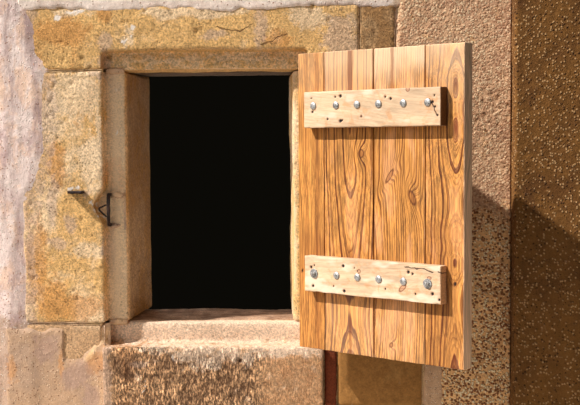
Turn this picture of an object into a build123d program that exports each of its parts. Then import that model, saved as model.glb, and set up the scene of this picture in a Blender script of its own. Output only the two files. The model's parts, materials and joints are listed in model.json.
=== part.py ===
"""Dovecote window: a bay of thick wall with a stone surround and a plank shutter on pintles.

Millimetres, +Z up. X = 0 is the centre of the opening, Y = 0 the middle of the wall's
thickness, Z = 0 the underside of the base course. The outside of the wall faces -Y.
The shutter stands open, as far as the photograph shows it.
"""
import os
from math import atan2, cos, radians, sin

from build123d import *

# Wall bay
wall_depth = 336.0
bay_left = 720.0
bay_right = 1200.0
base_height = 172.0
sill_height = 248.0
opening_height = 758.0
lintel_height = 192.0
top_height = 90.0
pier_left = 894.0
pier_proud = 66.0
stone_chamfer = 5.0

# Courses of the rubble above its base, the joints raked out between its stones, and how far
# one stone after another lies behind the face
course_rises = (150.0, 130.0, 165.0, 140.0, 155.0, 145.0, 160.0)
stone_length = 250.0
shortest_stone = 60.0
joint_width = 18.0
joint_depth = 12.0
stone_sinks = (0.0, 4.0, 2.0, 6.0, 3.0)

# Opening, its rebate and its reveals
opening_width = 500.0
rebate_depth = 45.0
rebate_left = 61.0
rebate_right = 48.0
rebate_top = 55.0
rebate_bottom = 60.0
reveal_narrowing = 24.0
arris_radius = 9.0

# Stones round the opening
jamb_outer = 560.0
lintel_depth = 168.0
lintel_right = 453.0
sill_left = 322.0
sill_right = 345.0
sill_proud = 18.0
sill_fall = 4.0
sill_nose_radius = 14.0
lower_jamb_height = 120.0
slip_width = 39.0
corner_block_width = 256.0

# Skins of lime on the stones
plaster_thickness = 6.0
roughcast_thickness = 8.0
band_thickness = 3.0
band_width = 52.0
band_height = 340.0
skin_foot = 20.0

# Ragged edges of the skins: how far each laps over the stone below it, and at what height
plaster_laps = (
    (25, 20),
    (30, 292),
    (4, 480),
    (2, 650),
    (30, 940),
    (64, 1178),
    (48, 1268),
    (32, 1370),
)
plaster_top_lap = 20.0
roughcast_gaps = ((52, 20), (52, 380), (6, 580))
roughcast_head_gaps = ((20, 1058), (8, 1238))
roughcast_top_gap = 14.0

# Shutter, measured from its hinge edge and from its foot
open_angle = 142.5
first_board_widths = (94.5, 169.0, 165.5)
board_gaps = (2.5, 4.5, 2.5)
board_thickness = 40.0
board_chamfer = 1.5
shutter_proud = 6.0
shutter_foot_gap = 7.0
shutter_head_gap = 17.0
free_edge_gap = 21.0
hinge_edge = 22.0
batten_start = 46.0
batten_end = 52.0
batten_height = 102.0
batten_thickness = 30.0
batten_chamfer = 2.0
upper_batten_drop = 112.0
lower_batten_rise = 170.0

# Hinge straps and pintles
pin_inset = 8.0
pin_radius = 8.0
pin_clearance = 0.08
pin_rise = 16.0
strap_thickness = 6.0
strap_height = 50.0
strap_end_margin = 8.0
upper_strap_rise = 62.0
lower_strap_rise = 53.0
seat_gap = 0.3
arm_thickness = 12.0
arm_height = 24.0
arm_reach = 38.0
arm_embed = 110.0
arm_bend = 9.0

# Carriage bolts, measured along the shutter from its hinge edge
bolt_places = (81.0, 162.0, 235.0, 307.0, 388.0, 465.0)
bolt_radius = 4.0
bolt_hole_clearance = 0.2
head_radius = 10.3
head_height = 4.6
head_taper = 42.0
nut_radius = 7.5
nut_height = 6.5
washer_radius = 13.5
washer_thickness = 2.0
nuts_inside = {"upper": (), "lower": (0, 5)}

# Ironwork of the left jamb; heights are from the apex of the notch
notch_height = 355.0
notch_depth = 35.0
notch_rise = 57.0
notch_drop = 60.0
staple_gap = 5.0
staple_bar = 9.0
staple_standoff = 27.0
staple_rise = 32.0
staple_drop = 59.0
staple_embed = 36.0
staple_bend = 11.0
foot_clearance = 0.05
keeper_bar = 4.6
keeper_bend = 5.0
keeper_clearance = 12.0
keeper_rise = 2.0
keeper_dip = 9.0
keeper_drop = 34.0
stub_inset = 81.0
stub_rise = 42.0
stub_width = 45.0
stub_thickness = 8.0
stub_proud = 30.0
stub_embed = 60.0
iron_chamfer = 1.5

# Worked out from the values above
front = -wall_depth / 2
back = wall_depth / 2
half_opening = opening_width / 2
seat_y = front + rebate_depth
left_arris = -half_opening - rebate_left
right_arris = half_opening + rebate_right
sill_top = base_height + sill_height
shelf_top = sill_top - rebate_bottom
opening_top = sill_top + opening_height
lintel_top = opening_top + lintel_height
wall_top_z = lintel_top + top_height
slip_right = sill_right + slip_width
corner_right = slip_right + corner_block_width
course_tops = [base_height + sum(course_rises[:count]) for count in range(1, len(course_rises) + 1)]
beds = (0, base_height, *course_tops, lintel_top, wall_top_z)
pin_x = right_arris - pin_inset
pin_y = front - shutter_proud - pin_radius - pin_clearance - strap_thickness
eye_radius = pin_radius + pin_clearance + strap_thickness
shutter_foot = shelf_top + shutter_foot_gap
shutter_width = pin_x - hinge_edge - left_arris - free_edge_gap
last_board_width = shutter_width - sum(first_board_widths) - sum(board_gaps)
board_widths = (*first_board_widths, last_board_width)
board_length = opening_height + rebate_top + rebate_bottom - shutter_foot_gap - shutter_head_gap
batten_length = shutter_width - batten_start - batten_end
batten_feet = {
    "upper": shutter_foot + board_length - upper_batten_drop - batten_height,
    "lower": shutter_foot + lower_batten_rise,
}
strap_rows = {
    "upper": batten_feet["upper"] + upper_strap_rise,
    "lower": batten_feet["lower"] + lower_strap_rise,
}
outer_face = -eye_radius
inner_face = outer_face - board_thickness
batten_face = inner_face - batten_thickness
notch_z = sill_top + notch_height
staple_x = left_arris + staple_gap + staple_bar / 2
stub_x = left_arris - stub_inset
stub_z = notch_z + stub_rise
arm_x = pin_x + arm_reach
punched_hole = 2 * (bolt_radius + bolt_hole_clearance)
along = Vector(-cos(radians(open_angle)), -sin(radians(open_angle)), 0)
inward = Vector(0, 0, 1).cross(along) * -1


def wall_plane(depth):
    """A plane parallel to the wall, depth behind its front: x is X, y is Z, normal outwards."""
    return Plane.XZ.offset(-front - depth)


def shutter_plane(offset):
    """A plane parallel to the shutter: x runs from the pin along it, y is Z, normal inwards."""
    return Plane(origin=Vector(pin_x, pin_y, 0) - inward * offset, x_dir=along, z_dir=inward)


def save(part, name):
    part.label = name
    export_step(part, f"parts/{name}.step")


def stones_of(low, high, levels, foot, head):
    """Each stone's left end, right end, bed and top on one face, to the middle of its joints."""
    stones = []
    for course, (bed, top) in enumerate(zip(levels, levels[1:])):
        if bed < foot or top > head:
            continue
        ends = [low]
        place = low + stone_length * (0.85 if course % 2 else 0.5)
        while place < high - shortest_stone:
            ends.append(place)
            place += stone_length
        stones += [(left, right, bed, top) for left, right in zip(ends, [*ends[1:], high])]
    return stones


def stone_pattern(plane, stones):
    with BuildSketch(plane) as pattern:
        for left, right, bed, top in stones:
            with Locations(((left + right) / 2, (bed + top) / 2)):
                Rectangle(right - left, top - bed)
    return pattern.sketch


def joint_pattern(plane, stones, low, high, foot, head):
    """The beds and the uprights between the stones."""
    with BuildSketch(plane) as pattern:
        for left, right, bed, top in stones:
            if left > low:
                with Locations((left, (bed + top) / 2)):
                    Rectangle(joint_width, top - bed)
        for bed in sorted({stone[2] for stone in stones if stone[2] > foot}):
            with Locations(((low + high) / 2, bed)):
                Rectangle(high - low, joint_width)
    return pattern.sketch


def face_cuts(plane, low, high, levels, foot, head):
    """What is cut back from one bare face, as pairs of a sketch and its depth."""
    stones = stones_of(low, high, levels, foot, head)
    cuts = []
    for turn, sink in enumerate(stone_sinks):
        sunk = stones[turn :: len(stone_sinks)]
        if sink and sunk:
            cuts.append((stone_pattern(plane, sunk), sink))
    if len(stones) > 1:
        cuts.append((joint_pattern(plane, stones, low, high, foot, head), joint_depth))
    return cuts


def block(name, x_low, x_high, z_low, z_high, y_low=front, y_high=back, raked=()):
    """Squared masonry, its front edges chamfered, with stones and joints cut into the raked faces."""
    wythes = (y_low, (y_low + y_high) / 2, y_high)
    faces = {
        "back": ((wall_plane(wall_depth), x_low, x_high, beds, z_low, z_high), 1),
        "left": ((Plane.YZ.offset(x_low), y_low, y_high, beds, z_low, z_high), 1),
        "right": ((Plane.YZ.offset(x_high), y_low, y_high, beds, z_low, z_high), -1),
        "top": ((Plane.XY.offset(z_high), x_low, x_high, wythes, y_low, y_high), -1),
    }
    with BuildPart() as stone:
        with BuildSketch(Plane.XY.offset(z_low)):
            with BuildLine():
                Polyline((x_low, y_low), (x_high, y_low), (x_high, y_high), (x_low, y_high), close=True)
            make_face()
        extrude(amount=z_high - z_low)
        chamfer(stone.faces().sort_by(Axis.Y)[0].edges(), stone_chamfer)
        for side in raked:
            face, into = faces[side]
            for pattern, depth in face_cuts(*face):
                extrude(pattern, amount=into * depth, mode=Mode.SUBTRACT)
    save(stone.part, name)


os.makedirs("parts", exist_ok=True)

# Plain masonry of the bay
block("base_left", -bay_left, -sill_left, 0, base_height, raked=("back", "left"))
block("base_middle", -sill_left, slip_right, 0, base_height, raked=("back",))
block("base_right", slip_right, pier_left, 0, base_height, raked=("back",))
block("wall_left", -bay_left, -jamb_outer, base_height, lintel_top, raked=("back", "left"))
block("wall_above", -bay_left, pier_left, lintel_top, wall_top_z, raked=("back", "left", "top"))
block("pier", pier_left, bay_right, 0, wall_top_z, y_low=front - pier_proud, raked=("back", "right", "top"))
block("left_jamb_lower", -jamb_outer, -sill_left, sill_top - lower_jamb_height, sill_top)
block("left_corner_block", -jamb_outer, -sill_left, base_height, sill_top - lower_jamb_height)
block("upright_slip", sill_right, slip_right, base_height, sill_top)
block("right_corner_block", slip_right, corner_right, base_height, sill_top)
block("lintel_end_stone", lintel_right, jamb_outer, opening_top, lintel_top, y_high=front + lintel_depth)

with BuildPart() as wall_right:
    with BuildSketch(wall_plane(0)):
        with BuildLine():
            Polyline(
                (corner_right, base_height),
                (pier_left, base_height),
                (pier_left, lintel_top),
                (jamb_outer, lintel_top),
                (jamb_outer, sill_top),
                (corner_right, sill_top),
                close=True,
            )
        make_face()
    extrude(amount=-wall_depth)
    chamfer(wall_right.faces().sort_by(Axis.Y)[0].edges(), stone_chamfer)
    for pattern, depth in face_cuts(wall_plane(wall_depth), jamb_outer, pier_left, beds, base_height, lintel_top):
        extrude(pattern, amount=depth, mode=Mode.SUBTRACT)
save(wall_right.part, "wall_right")

# Timber lintels behind the stone one
timber_depth = (back - front - lintel_depth) / 2
for row, place in enumerate(("outer", "inner")):
    timber_y = front + lintel_depth + row * timber_depth
    with BuildPart() as timber:
        with BuildSketch(Plane.XY.offset(opening_top)):
            with Locations((0, timber_y + timber_depth / 2)):
                Rectangle(2 * jamb_outer, timber_depth)
        extrude(amount=lintel_height)
        chamfer(timber.faces().sort_by(Axis.Z)[0].edges().filter_by(Axis.X), stone_chamfer)
    save(timber.part, f"timber_lintel_{place}")

# Lintel, with the rebate for the shutter's head cut out of its lower edge
with BuildPart() as lintel:
    with BuildSketch(wall_plane(0)):
        with BuildLine():
            Polyline(
                (-jamb_outer, opening_top),
                (lintel_right, opening_top),
                (lintel_right, lintel_top),
                (-jamb_outer, lintel_top),
                close=True,
            )
        make_face()
    extrude(amount=-lintel_depth)
    chamfer(lintel.faces().sort_by(Axis.Y)[0].edges(), stone_chamfer)
    with BuildSketch(wall_plane(0)):
        with BuildLine():
            Polyline(
                (left_arris, opening_top),
                (right_arris, opening_top),
                (right_arris, opening_top + rebate_top),
                (left_arris, opening_top + rebate_top),
                close=True,
            )
        make_face()
    extrude(amount=-rebate_depth, mode=Mode.SUBTRACT)
    head_arris = lintel.edges().filter_by(Axis.X).sort_by_distance((0, front, opening_top + rebate_top))[0]
    fillet(head_arris, arris_radius)
save(lintel.part, "lintel")

# Sill: sloping shelf, upstand behind it and a raised stool under each jamb
with BuildPart() as sill:
    with BuildSketch(Plane.YZ.offset(-sill_left)):
        with BuildLine():
            Polyline(
                (back, base_height),
                (back, sill_top),
                (seat_y, sill_top),
                (seat_y, shelf_top),
                (front - sill_proud, shelf_top - sill_fall),
                (front - sill_proud, base_height),
                close=True,
            )
        make_face()
    extrude(amount=sill_left + sill_right)
    nose = sill.edges().filter_by(Axis.X).sort_by_distance((0, front - sill_proud, shelf_top))[0]
    fillet(nose, sill_nose_radius)
    upstand = sill.edges().filter_by(Axis.X).sort_by_distance((0, seat_y, sill_top))[0]
    fillet(upstand, arris_radius)
    for stool_low, stool_high in ((-sill_left, left_arris), (right_arris, sill_right)):
        with BuildSketch(Plane.XY.offset(shelf_top - sill_fall)):
            with BuildLine():
                Polyline(
                    (stool_low, front),
                    (stool_high, front),
                    (stool_high, seat_y + arris_radius),
                    (stool_low, seat_y + arris_radius),
                    close=True,
                )
            make_face()
        extrude(amount=sill_top - shelf_top + sill_fall)
save(sill.part, "sill")


# Jambs: rebated, their reveals narrowing towards the inside
def jamb_corners(side, arris):
    """Corners of one jamb's plan; side is -1 on the left and 1 on the right."""
    return (
        (side * jamb_outer, front),
        (arris, front),
        (arris, seat_y),
        (side * half_opening, seat_y),
        (side * (half_opening - reveal_narrowing), back),
        (side * jamb_outer, back),
    )


with BuildPart() as left_jamb:
    with BuildSketch(Plane.XY.offset(sill_top)) as left_plan:
        with BuildLine():
            Polyline(*jamb_corners(-1, left_arris), close=True)
        make_face()
        fillet(left_plan.vertices().sort_by_distance((left_arris, front))[0], arris_radius)
        fillet(left_plan.vertices().sort_by_distance((-half_opening, seat_y))[0], arris_radius)
    extrude(amount=opening_height)
    with BuildSketch(wall_plane(0)):
        with BuildLine():
            Polyline(
                (left_arris, notch_z - notch_drop),
                (left_arris - notch_depth, notch_z),
                (left_arris, notch_z + notch_rise),
                (left_arris + arris_radius, notch_z),
                close=True,
            )
        make_face()
    extrude(amount=-rebate_depth, mode=Mode.SUBTRACT)
    with BuildSketch(wall_plane(rebate_depth)):
        with Locations((staple_x, notch_z + staple_rise), (staple_x, notch_z - staple_drop)):
            Rectangle(staple_bar + 2 * foot_clearance, staple_bar + 2 * foot_clearance)
    extrude(amount=-staple_embed, mode=Mode.SUBTRACT)
    with BuildSketch(wall_plane(0)):
        with Locations((stub_x, stub_z)):
            Rectangle(stub_width, stub_thickness)
    extrude(amount=-stub_embed, mode=Mode.SUBTRACT)
save(left_jamb.part, "left_jamb")

with BuildPart() as right_jamb:
    with BuildSketch(Plane.XY.offset(sill_top)) as right_plan:
        with BuildLine():
            Polyline(*jamb_corners(1, right_arris), close=True)
        make_face()
        fillet(right_plan.vertices().sort_by_distance((right_arris, front))[0], arris_radius)
        fillet(right_plan.vertices().sort_by_distance((half_opening, seat_y))[0], arris_radius)
    extrude(amount=opening_height)
    with BuildSketch(wall_plane(0)):
        for row_z in strap_rows.values():
            arm_z = row_z - strap_height / 2 - seat_gap - arm_height / 2
            with Locations((arm_x, arm_z)):
                Rectangle(arm_thickness, arm_height)
    extrude(amount=-arm_embed, mode=Mode.SUBTRACT)
save(right_jamb.part, "right_jamb")

# Lime plaster that laps over the stones on the left, with a ragged edge
with BuildPart() as plaster:
    with BuildSketch(wall_plane(0)):
        with BuildLine():
            edge = Spline(
                *((lap - jamb_outer, height) for lap, height in plaster_laps),
                (plaster_top_lap - jamb_outer, wall_top_z),
            )
            top, foot = edge @ 1, edge @ 0
            Polyline(top, (-bay_left, top.Y), (-bay_left, foot.Y), foot)
        make_face()
    extrude(amount=plaster_thickness)
save(plaster.part, "plaster_left")

# Roughcast between the stones and the pier
with BuildPart() as roughcast:
    with BuildSketch(wall_plane(0)):
        with BuildLine():
            edge = Spline(
                *((corner_right + gap, height) for gap, height in roughcast_gaps),
                *((jamb_outer + gap, height) for gap, height in roughcast_head_gaps),
                (jamb_outer + roughcast_top_gap, wall_top_z),
            )
            top, foot = edge @ 1, edge @ 0
            Polyline(top, (pier_left, top.Y), (pier_left, foot.Y), foot)
        make_face()
    extrude(amount=roughcast_thickness)
save(roughcast.part, "roughcast_right")

# Trowelled band of mortar beside the lower corner block
with BuildPart() as band:
    with BuildSketch(wall_plane(0)):
        with Locations((corner_right, skin_foot)):
            Rectangle(band_width, band_height, align=(Align.MIN, Align.MIN))
    extrude(amount=band_thickness)
save(band.part, "mortar_band")

# Staple in the left rebate, both feet set in the stone
rod_y = seat_y - staple_standoff
with BuildPart() as staple:
    with BuildLine() as staple_path:
        FilletPolyline(
            (staple_x, seat_y + staple_embed, notch_z + staple_rise),
            (staple_x, rod_y, notch_z + staple_rise),
            (staple_x, rod_y, notch_z - staple_drop),
            (staple_x, seat_y + staple_embed, notch_z - staple_drop),
            radius=staple_bend,
        )
    with BuildSketch(staple_path.line ^ 0):
        Rectangle(staple_bar, staple_bar)
    sweep()
save(staple.part, "latch_staple")

# Bent keeper on the staple, reaching into the notch
keeper_tip_x = left_arris - notch_depth + keeper_clearance
keeper_side = staple_x - staple_bar / 2
keeper_lean = atan2(keeper_drop - keeper_dip, keeper_side - keeper_tip_x)
keeper_root = keeper_side - seat_gap - keeper_bar / 2 * sin(keeper_lean)
with BuildPart() as keeper:
    with BuildLine() as keeper_path:
        FilletPolyline(
            (keeper_root, rod_y, notch_z + keeper_rise),
            (keeper_tip_x, rod_y, notch_z - keeper_dip),
            (keeper_root, rod_y, notch_z - keeper_drop),
            radius=keeper_bend,
        )
    with BuildSketch(keeper_path.line ^ 0):
        Rectangle(keeper_bar, keeper_bar)
    sweep()
save(keeper.part, "latch_keeper")

# Flat iron stub set in the face of the left jamb
with BuildPart() as stub:
    with BuildSketch(wall_plane(stub_embed)):
        with Locations((stub_x, stub_z)):
            Rectangle(stub_width, stub_thickness)
    extrude(amount=stub_embed + stub_proud)
    chamfer(stub.faces().sort_by(Axis.Y)[0].edges(), iron_chamfer)
save(stub.part, "iron_stub")

# Pintles: a pin on an arm that turns back into the right jamb
for name, row_z in strap_rows.items():
    arm_top = row_z - strap_height / 2 - seat_gap
    with BuildPart() as pintle:
        with BuildSketch(Plane.XY.offset(arm_top - arm_height)) as arm:
            with BuildLine():
                Polyline(
                    (pin_x, pin_y - arm_thickness / 2),
                    (arm_x + arm_thickness / 2, pin_y - arm_thickness / 2),
                    (arm_x + arm_thickness / 2, front + arm_embed),
                    (arm_x - arm_thickness / 2, front + arm_embed),
                    (arm_x - arm_thickness / 2, pin_y + arm_thickness / 2),
                    (pin_x, pin_y + arm_thickness / 2),
                    close=True,
                )
            make_face()
            fillet(arm.vertices().sort_by_distance((bay_right, pin_y))[0], arm_bend)
            with Locations((pin_x, pin_y)):
                Circle(eye_radius)
        extrude(amount=arm_height)
        with BuildSketch(Plane.XY.offset(arm_top)):
            with Locations((pin_x, pin_y)):
                Circle(pin_radius)
        extrude(amount=seat_gap + strap_height + pin_rise)
        chamfer(pintle.faces().sort_by(Axis.Z)[-1].edges(), iron_chamfer)
    save(pintle.part, f"pintle_{name}")

# Boards of the shutter, drilled for the bolts
board_start = hinge_edge
for number, (board_width, gap) in enumerate(zip(board_widths, (*board_gaps, 0)), start=1):
    with BuildPart() as board:
        with BuildSketch(shutter_plane(outer_face)):
            with Locations((board_start, shutter_foot)):
                Rectangle(board_width, board_length, align=(Align.MIN, Align.MIN))
        extrude(amount=board_thickness)
        chamfer(board.edges().filter_by(Axis.Z), board_chamfer)
        with BuildSketch(shutter_plane(outer_face)):
            for row_z in strap_rows.values():
                for place in bolt_places:
                    if board_start < hinge_edge + place < board_start + board_width:
                        with Locations((hinge_edge + place, row_z)):
                            Circle(bolt_radius + bolt_hole_clearance)
        extrude(amount=board_thickness, mode=Mode.SUBTRACT)
    save(board.part, f"board_{number}")
    board_start += board_width + gap

# Battens, straps and bolts, upper and lower
for name, row_z in strap_rows.items():
    with BuildPart() as batten:
        with BuildSketch(shutter_plane(inner_face)):
            with Locations((hinge_edge + batten_start, batten_feet[name])):
                Rectangle(batten_length, batten_height, align=(Align.MIN, Align.MIN))
            for place in bolt_places:
                with Locations((hinge_edge + place, row_z)):
                    Circle(bolt_radius + bolt_hole_clearance, mode=Mode.SUBTRACT)
        extrude(amount=batten_thickness)
        chamfer(batten.edges().filter_by(Axis.Z), batten_chamfer)
    save(batten.part, f"batten_{name}")

    with BuildPart() as strap:
        strap_end = hinge_edge + shutter_width - strap_end_margin
        with BuildSketch(shutter_plane(outer_face + strap_thickness)):
            with BuildLine():
                Line((0, row_z - strap_height / 2), (strap_end - strap_height / 2, row_z - strap_height / 2))
                RadiusArc(
                    (strap_end - strap_height / 2, row_z - strap_height / 2),
                    (strap_end - strap_height / 2, row_z + strap_height / 2),
                    -strap_height / 2,
                )
                Line((strap_end - strap_height / 2, row_z + strap_height / 2), (0, row_z + strap_height / 2))
                Line((0, row_z + strap_height / 2), (0, row_z - strap_height / 2))
            make_face()
            for place in bolt_places:
                with Locations((hinge_edge + place, row_z)):
                    Rectangle(punched_hole, punched_hole, mode=Mode.SUBTRACT)
        extrude(amount=strap_thickness)
        with BuildSketch(Plane.XY.offset(row_z - strap_height / 2)):
            with Locations((pin_x, pin_y)):
                Circle(eye_radius)
        extrude(amount=strap_height)
        with BuildSketch(Plane.XY.offset(row_z - strap_height / 2)):
            with Locations((pin_x, pin_y)):
                Circle(pin_radius + pin_clearance)
        extrude(amount=strap_height, mode=Mode.SUBTRACT)
    save(strap.part, f"strap_{name}")

    with BuildPart() as bolts:
        strap_face = outer_face + strap_thickness
        shank_length = board_thickness + batten_thickness + strap_thickness
        for number, place in enumerate(bolt_places):
            centre = (hinge_edge + place, row_z)
            nut_inside = number in nuts_inside[name]
            head_plane = shutter_plane(strap_face if nut_inside else batten_face)
            nut_plane = shutter_plane(batten_face if nut_inside else strap_face)
            head_side = -1 if nut_inside else 1
            with BuildSketch(head_plane):
                with Locations(centre):
                    Circle(head_radius)
            extrude(amount=head_side * head_height, taper=head_taper)
            with BuildSketch(shutter_plane(strap_face)):
                with Locations(centre):
                    Circle(bolt_radius)
            extrude(amount=shank_length)
            if nut_inside:
                with BuildSketch(nut_plane):
                    with Locations(centre):
                        Circle(washer_radius)
                extrude(amount=washer_thickness)
            with BuildSketch(nut_plane):
                with Locations(centre):
                    RegularPolygon(nut_radius, 6)
            extrude(amount=-head_side * (washer_thickness * nut_inside + nut_height))
    save(bolts.part, f"bolts_{name}")
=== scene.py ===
"""Looks of the dovecote window: worn stones, lime skins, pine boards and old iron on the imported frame.

Metres, +Z up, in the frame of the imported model. The outside of the wall faces -Y. The shutter's
own pieces are laid out in places measured along it from its hinge edge, up it from its foot and
inwards from its pin. Tables of small marks are in millimetres and say so.
"""

import json
import math
from itertools import product

import bpy
import numpy as np
from mathutils import Euler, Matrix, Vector


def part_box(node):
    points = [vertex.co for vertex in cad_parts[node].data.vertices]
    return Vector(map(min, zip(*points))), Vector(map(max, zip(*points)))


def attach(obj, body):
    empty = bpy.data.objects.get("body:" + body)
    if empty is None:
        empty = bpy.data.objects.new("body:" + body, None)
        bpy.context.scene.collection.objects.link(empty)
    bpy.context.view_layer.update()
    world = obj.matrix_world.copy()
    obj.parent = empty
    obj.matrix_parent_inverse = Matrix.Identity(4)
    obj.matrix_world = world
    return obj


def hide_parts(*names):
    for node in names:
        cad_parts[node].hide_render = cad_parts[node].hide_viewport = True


bl_info = {
    "name": "Dovecote window",
    "version": (1, 0, 0),
    "blender": (4, 5, 0),
    "location": "3D View > Sidebar > Dovecote",
    "description": "Dresses the packed window bay with stone, lime, pine and iron",
    "category": "Object",
}

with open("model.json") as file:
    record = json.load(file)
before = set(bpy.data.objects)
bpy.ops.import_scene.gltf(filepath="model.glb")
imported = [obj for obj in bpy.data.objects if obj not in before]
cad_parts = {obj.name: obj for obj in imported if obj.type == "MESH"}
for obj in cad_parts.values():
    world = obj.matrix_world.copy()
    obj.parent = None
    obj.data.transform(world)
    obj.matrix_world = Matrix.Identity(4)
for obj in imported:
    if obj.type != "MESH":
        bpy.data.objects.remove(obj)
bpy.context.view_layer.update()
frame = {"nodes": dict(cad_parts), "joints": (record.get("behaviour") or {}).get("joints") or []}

# Places on the wall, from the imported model
wall_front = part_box("lintel")[0].y
wall_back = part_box("wall_above")[1].y
bay_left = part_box("wall_left")[0].x
jamb_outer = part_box("left_jamb")[0].x
bay_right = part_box("pier")[1].x
pier_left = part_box("pier")[0].x
sill_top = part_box("left_jamb")[0].z
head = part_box("left_jamb")[1].z
lintel_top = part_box("lintel")[1].z
bay_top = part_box("wall_above")[1].z

# Front arrises of the opening
left_arris = -0.311
right_arris = 0.298

# Places on the shutter: its hinge, the way it stands and its corner at the foot of the hinge edge
hinge = frame["joints"][0]
pin = np.array((hinge["pos_m"][0], hinge["pos_m"][1], 0.0))
open_angle = math.radians(-hinge["range_deg"][0])
along = np.array((-math.cos(open_angle), -math.sin(open_angle), 0.0))
upwards = np.array((0.0, 0.0, 1.0))
shutter_axes = np.stack((along, upwards, np.cross(along, upwards)))

# How the stones have weathered: sizes of swells, pits and grains, and depths of wear and grains
swell_size = 0.13
pit_spacing = 0.021
grain_size = 0.012
grain_depth = 0.0011
full_wear = 0.003
full_depth = 0.01
sill_seed = 17

# Depths under the bare faces: the deepest stone face, where a raked joint begins and where it ends
stone_faces_end = 0.0076
joint_begins = (0.0072, 0.0100)
joint_ends = 0.018
joint_relief = 0.0012

# Rounds that carry a stone's number to its farthest points
number_rounds = 60

# Borders of patches: how far they wander, and over what distance
fray = 0.010
fray_size = 0.028

seed_primes = np.array((73856093, 19349663, 83492791))


def mm(*values):
    """Millimetres as metres."""
    return tuple(value / 1000 for value in values)


# Noise that is the same on every run
def hashed(cells, seed):
    """A number from 0 to 1 for each whole-numbered cell."""
    key = cells @ seed_primes + seed * 2654435761
    key = (key ^ (key >> 13)) * 1274126177
    key = (key ^ (key >> 15)) * 2246822519
    return ((key >> 8) & 0xFFFF) / 65535


def lumps(points, size, seed=0):
    """Smooth noise from -1 to 1, its lumps about size across. Size may differ by axis."""
    cells = points / np.asarray(size) + seed * 7.31
    base = np.floor(cells).astype(np.int64)
    part = cells - base
    part = part * part * (3 - 2 * part)
    total = np.zeros(len(points))
    for corner in product((0, 1), repeat=3):
        weight = np.prod(np.where(corner, part, 1 - part), axis=1)
        total += weight * (2 * hashed(base + corner, seed) - 1)
    return total


def rough(points, size, octaves=3, seed=0):
    """Noise of several sizes added up, each half the size and strength of the last."""
    total = np.zeros(len(points))
    for octave in range(octaves):
        total += lumps(points, np.asarray(size) / 2**octave, seed + octave) / 2**octave
    return total


def spots(points, size, seed=0):
    """Distance in cells to the nearest of one random spot a cell, and that spot's random number."""
    cells = points / np.asarray(size)
    base = np.floor(cells).astype(np.int64)
    nearest = np.full(len(points), 9.0)
    number = np.zeros(len(points))
    for step in product((-1, 0, 1), repeat=3):
        cell = base + step
        spot = cell + np.stack([hashed(cell, seed + axis) for axis in (1, 2, 3)], axis=1)
        distance = np.linalg.norm(cells - spot, axis=1)
        closer = distance < nearest
        nearest[closer] = distance[closer]
        number[closer] = hashed(cell, seed + 9)[closer]
    return nearest, number


def smooth(value, low, high):
    """0 below low, 1 above high, and an even bend between."""
    part = np.clip((value - low) / (high - low), 0, 1)
    return part * part * (3 - 2 * part)


def blots(points, places):
    """How far points lie in ragged patches, given in mm as x, z, half width and half height."""
    amount = np.zeros(len(points))
    if not places:
        return amount
    x = points[:, 0] + fray * rough(points, fray_size, 3, 201)
    z = points[:, 2] + fray * rough(points, fray_size, 3, 211)
    for place in places:
        centre_x, centre_z, wide, high = mm(*place)
        off = np.hypot((x - centre_x) / wide, (z - centre_z) / high)
        amount = np.maximum(amount, smooth(1.75 - off, 0.0, 1.6))
    return amount


# Meshes
def read_vectors(items, name):
    """One vector property of all points of a mesh, as rows."""
    flat = np.empty(len(items) * 3, np.float32)
    items.foreach_get(name, flat)
    return flat.reshape(-1, 3).astype(float)


def read_points(mesh):
    return read_vectors(mesh.vertices, "co")


def write_points(mesh, points):
    mesh.vertices.foreach_set("co", points.astype(np.float32).ravel())
    mesh.update()


def sink(mesh, depth):
    """Moves the mesh's points inwards along their normals."""
    normals = read_vectors(mesh.vertex_normals, "vector")
    write_points(mesh, read_points(mesh) - normals * depth[:, None])


def write_marks(mesh, **marks):
    """Numbers kept on the mesh's points, for its material to read."""
    for name, values in marks.items():
        attribute = mesh.attributes.new(name, "FLOAT", "POINT")
        attribute.data.foreach_set("value", np.asarray(values, np.float32))


def make_mesh(name, points, faces):
    """A smoothly shaded mesh."""
    mesh = bpy.data.meshes.new(name)
    mesh.from_pydata(np.asarray(points).tolist(), [], [list(face) for face in faces])
    mesh.shade_smooth()
    mesh.update()
    return mesh


def place_piece(name, mesh, body, material, slot, *nodes):
    """Puts a mesh in the scene as a piece that rides on a body and may stand for CAD nodes."""
    piece = bpy.data.objects.new(name, mesh)
    bpy.context.scene.collection.objects.link(piece)
    mesh.materials.clear()
    mesh.materials.append(material)
    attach(piece, body)
    if nodes:
        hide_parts(*nodes)
    return piece


def voxel_mesh(node, voxel):
    """A node's mesh made again from even voxels, so that it can be worn."""
    copy = bpy.data.objects.new("voxels", frame["nodes"][node].data.copy())
    bpy.context.scene.collection.objects.link(copy)
    remesh = copy.modifiers.new("voxels", "REMESH")
    remesh.mode = "VOXEL"
    remesh.voxel_size = voxel
    remesh.use_smooth_shade = True
    graph = bpy.context.evaluated_depsgraph_get()
    mesh = bpy.data.meshes.new_from_object(copy.evaluated_get(graph))
    bpy.data.objects.remove(copy)
    return mesh


def read_edges(mesh):
    edges = np.empty(len(mesh.edges) * 2, np.int32)
    mesh.edges.foreach_get("vertices", edges)
    return edges.reshape(-1, 2)


def relaxed(mesh, rounds):
    """The mesh's points drawn towards their neighbours, which rounds its corners off."""
    points = read_points(mesh)
    edges = read_edges(mesh)
    first, second = edges.T
    count = np.bincount(edges.ravel(), minlength=len(points))
    for _ in range(rounds):
        for axis in range(3):
            place = points[:, axis]
            total = np.bincount(first, place[second], len(place))
            total += np.bincount(second, place[first], len(place))
            points[:, axis] = (place + total / count) / 2
    return points


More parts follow.
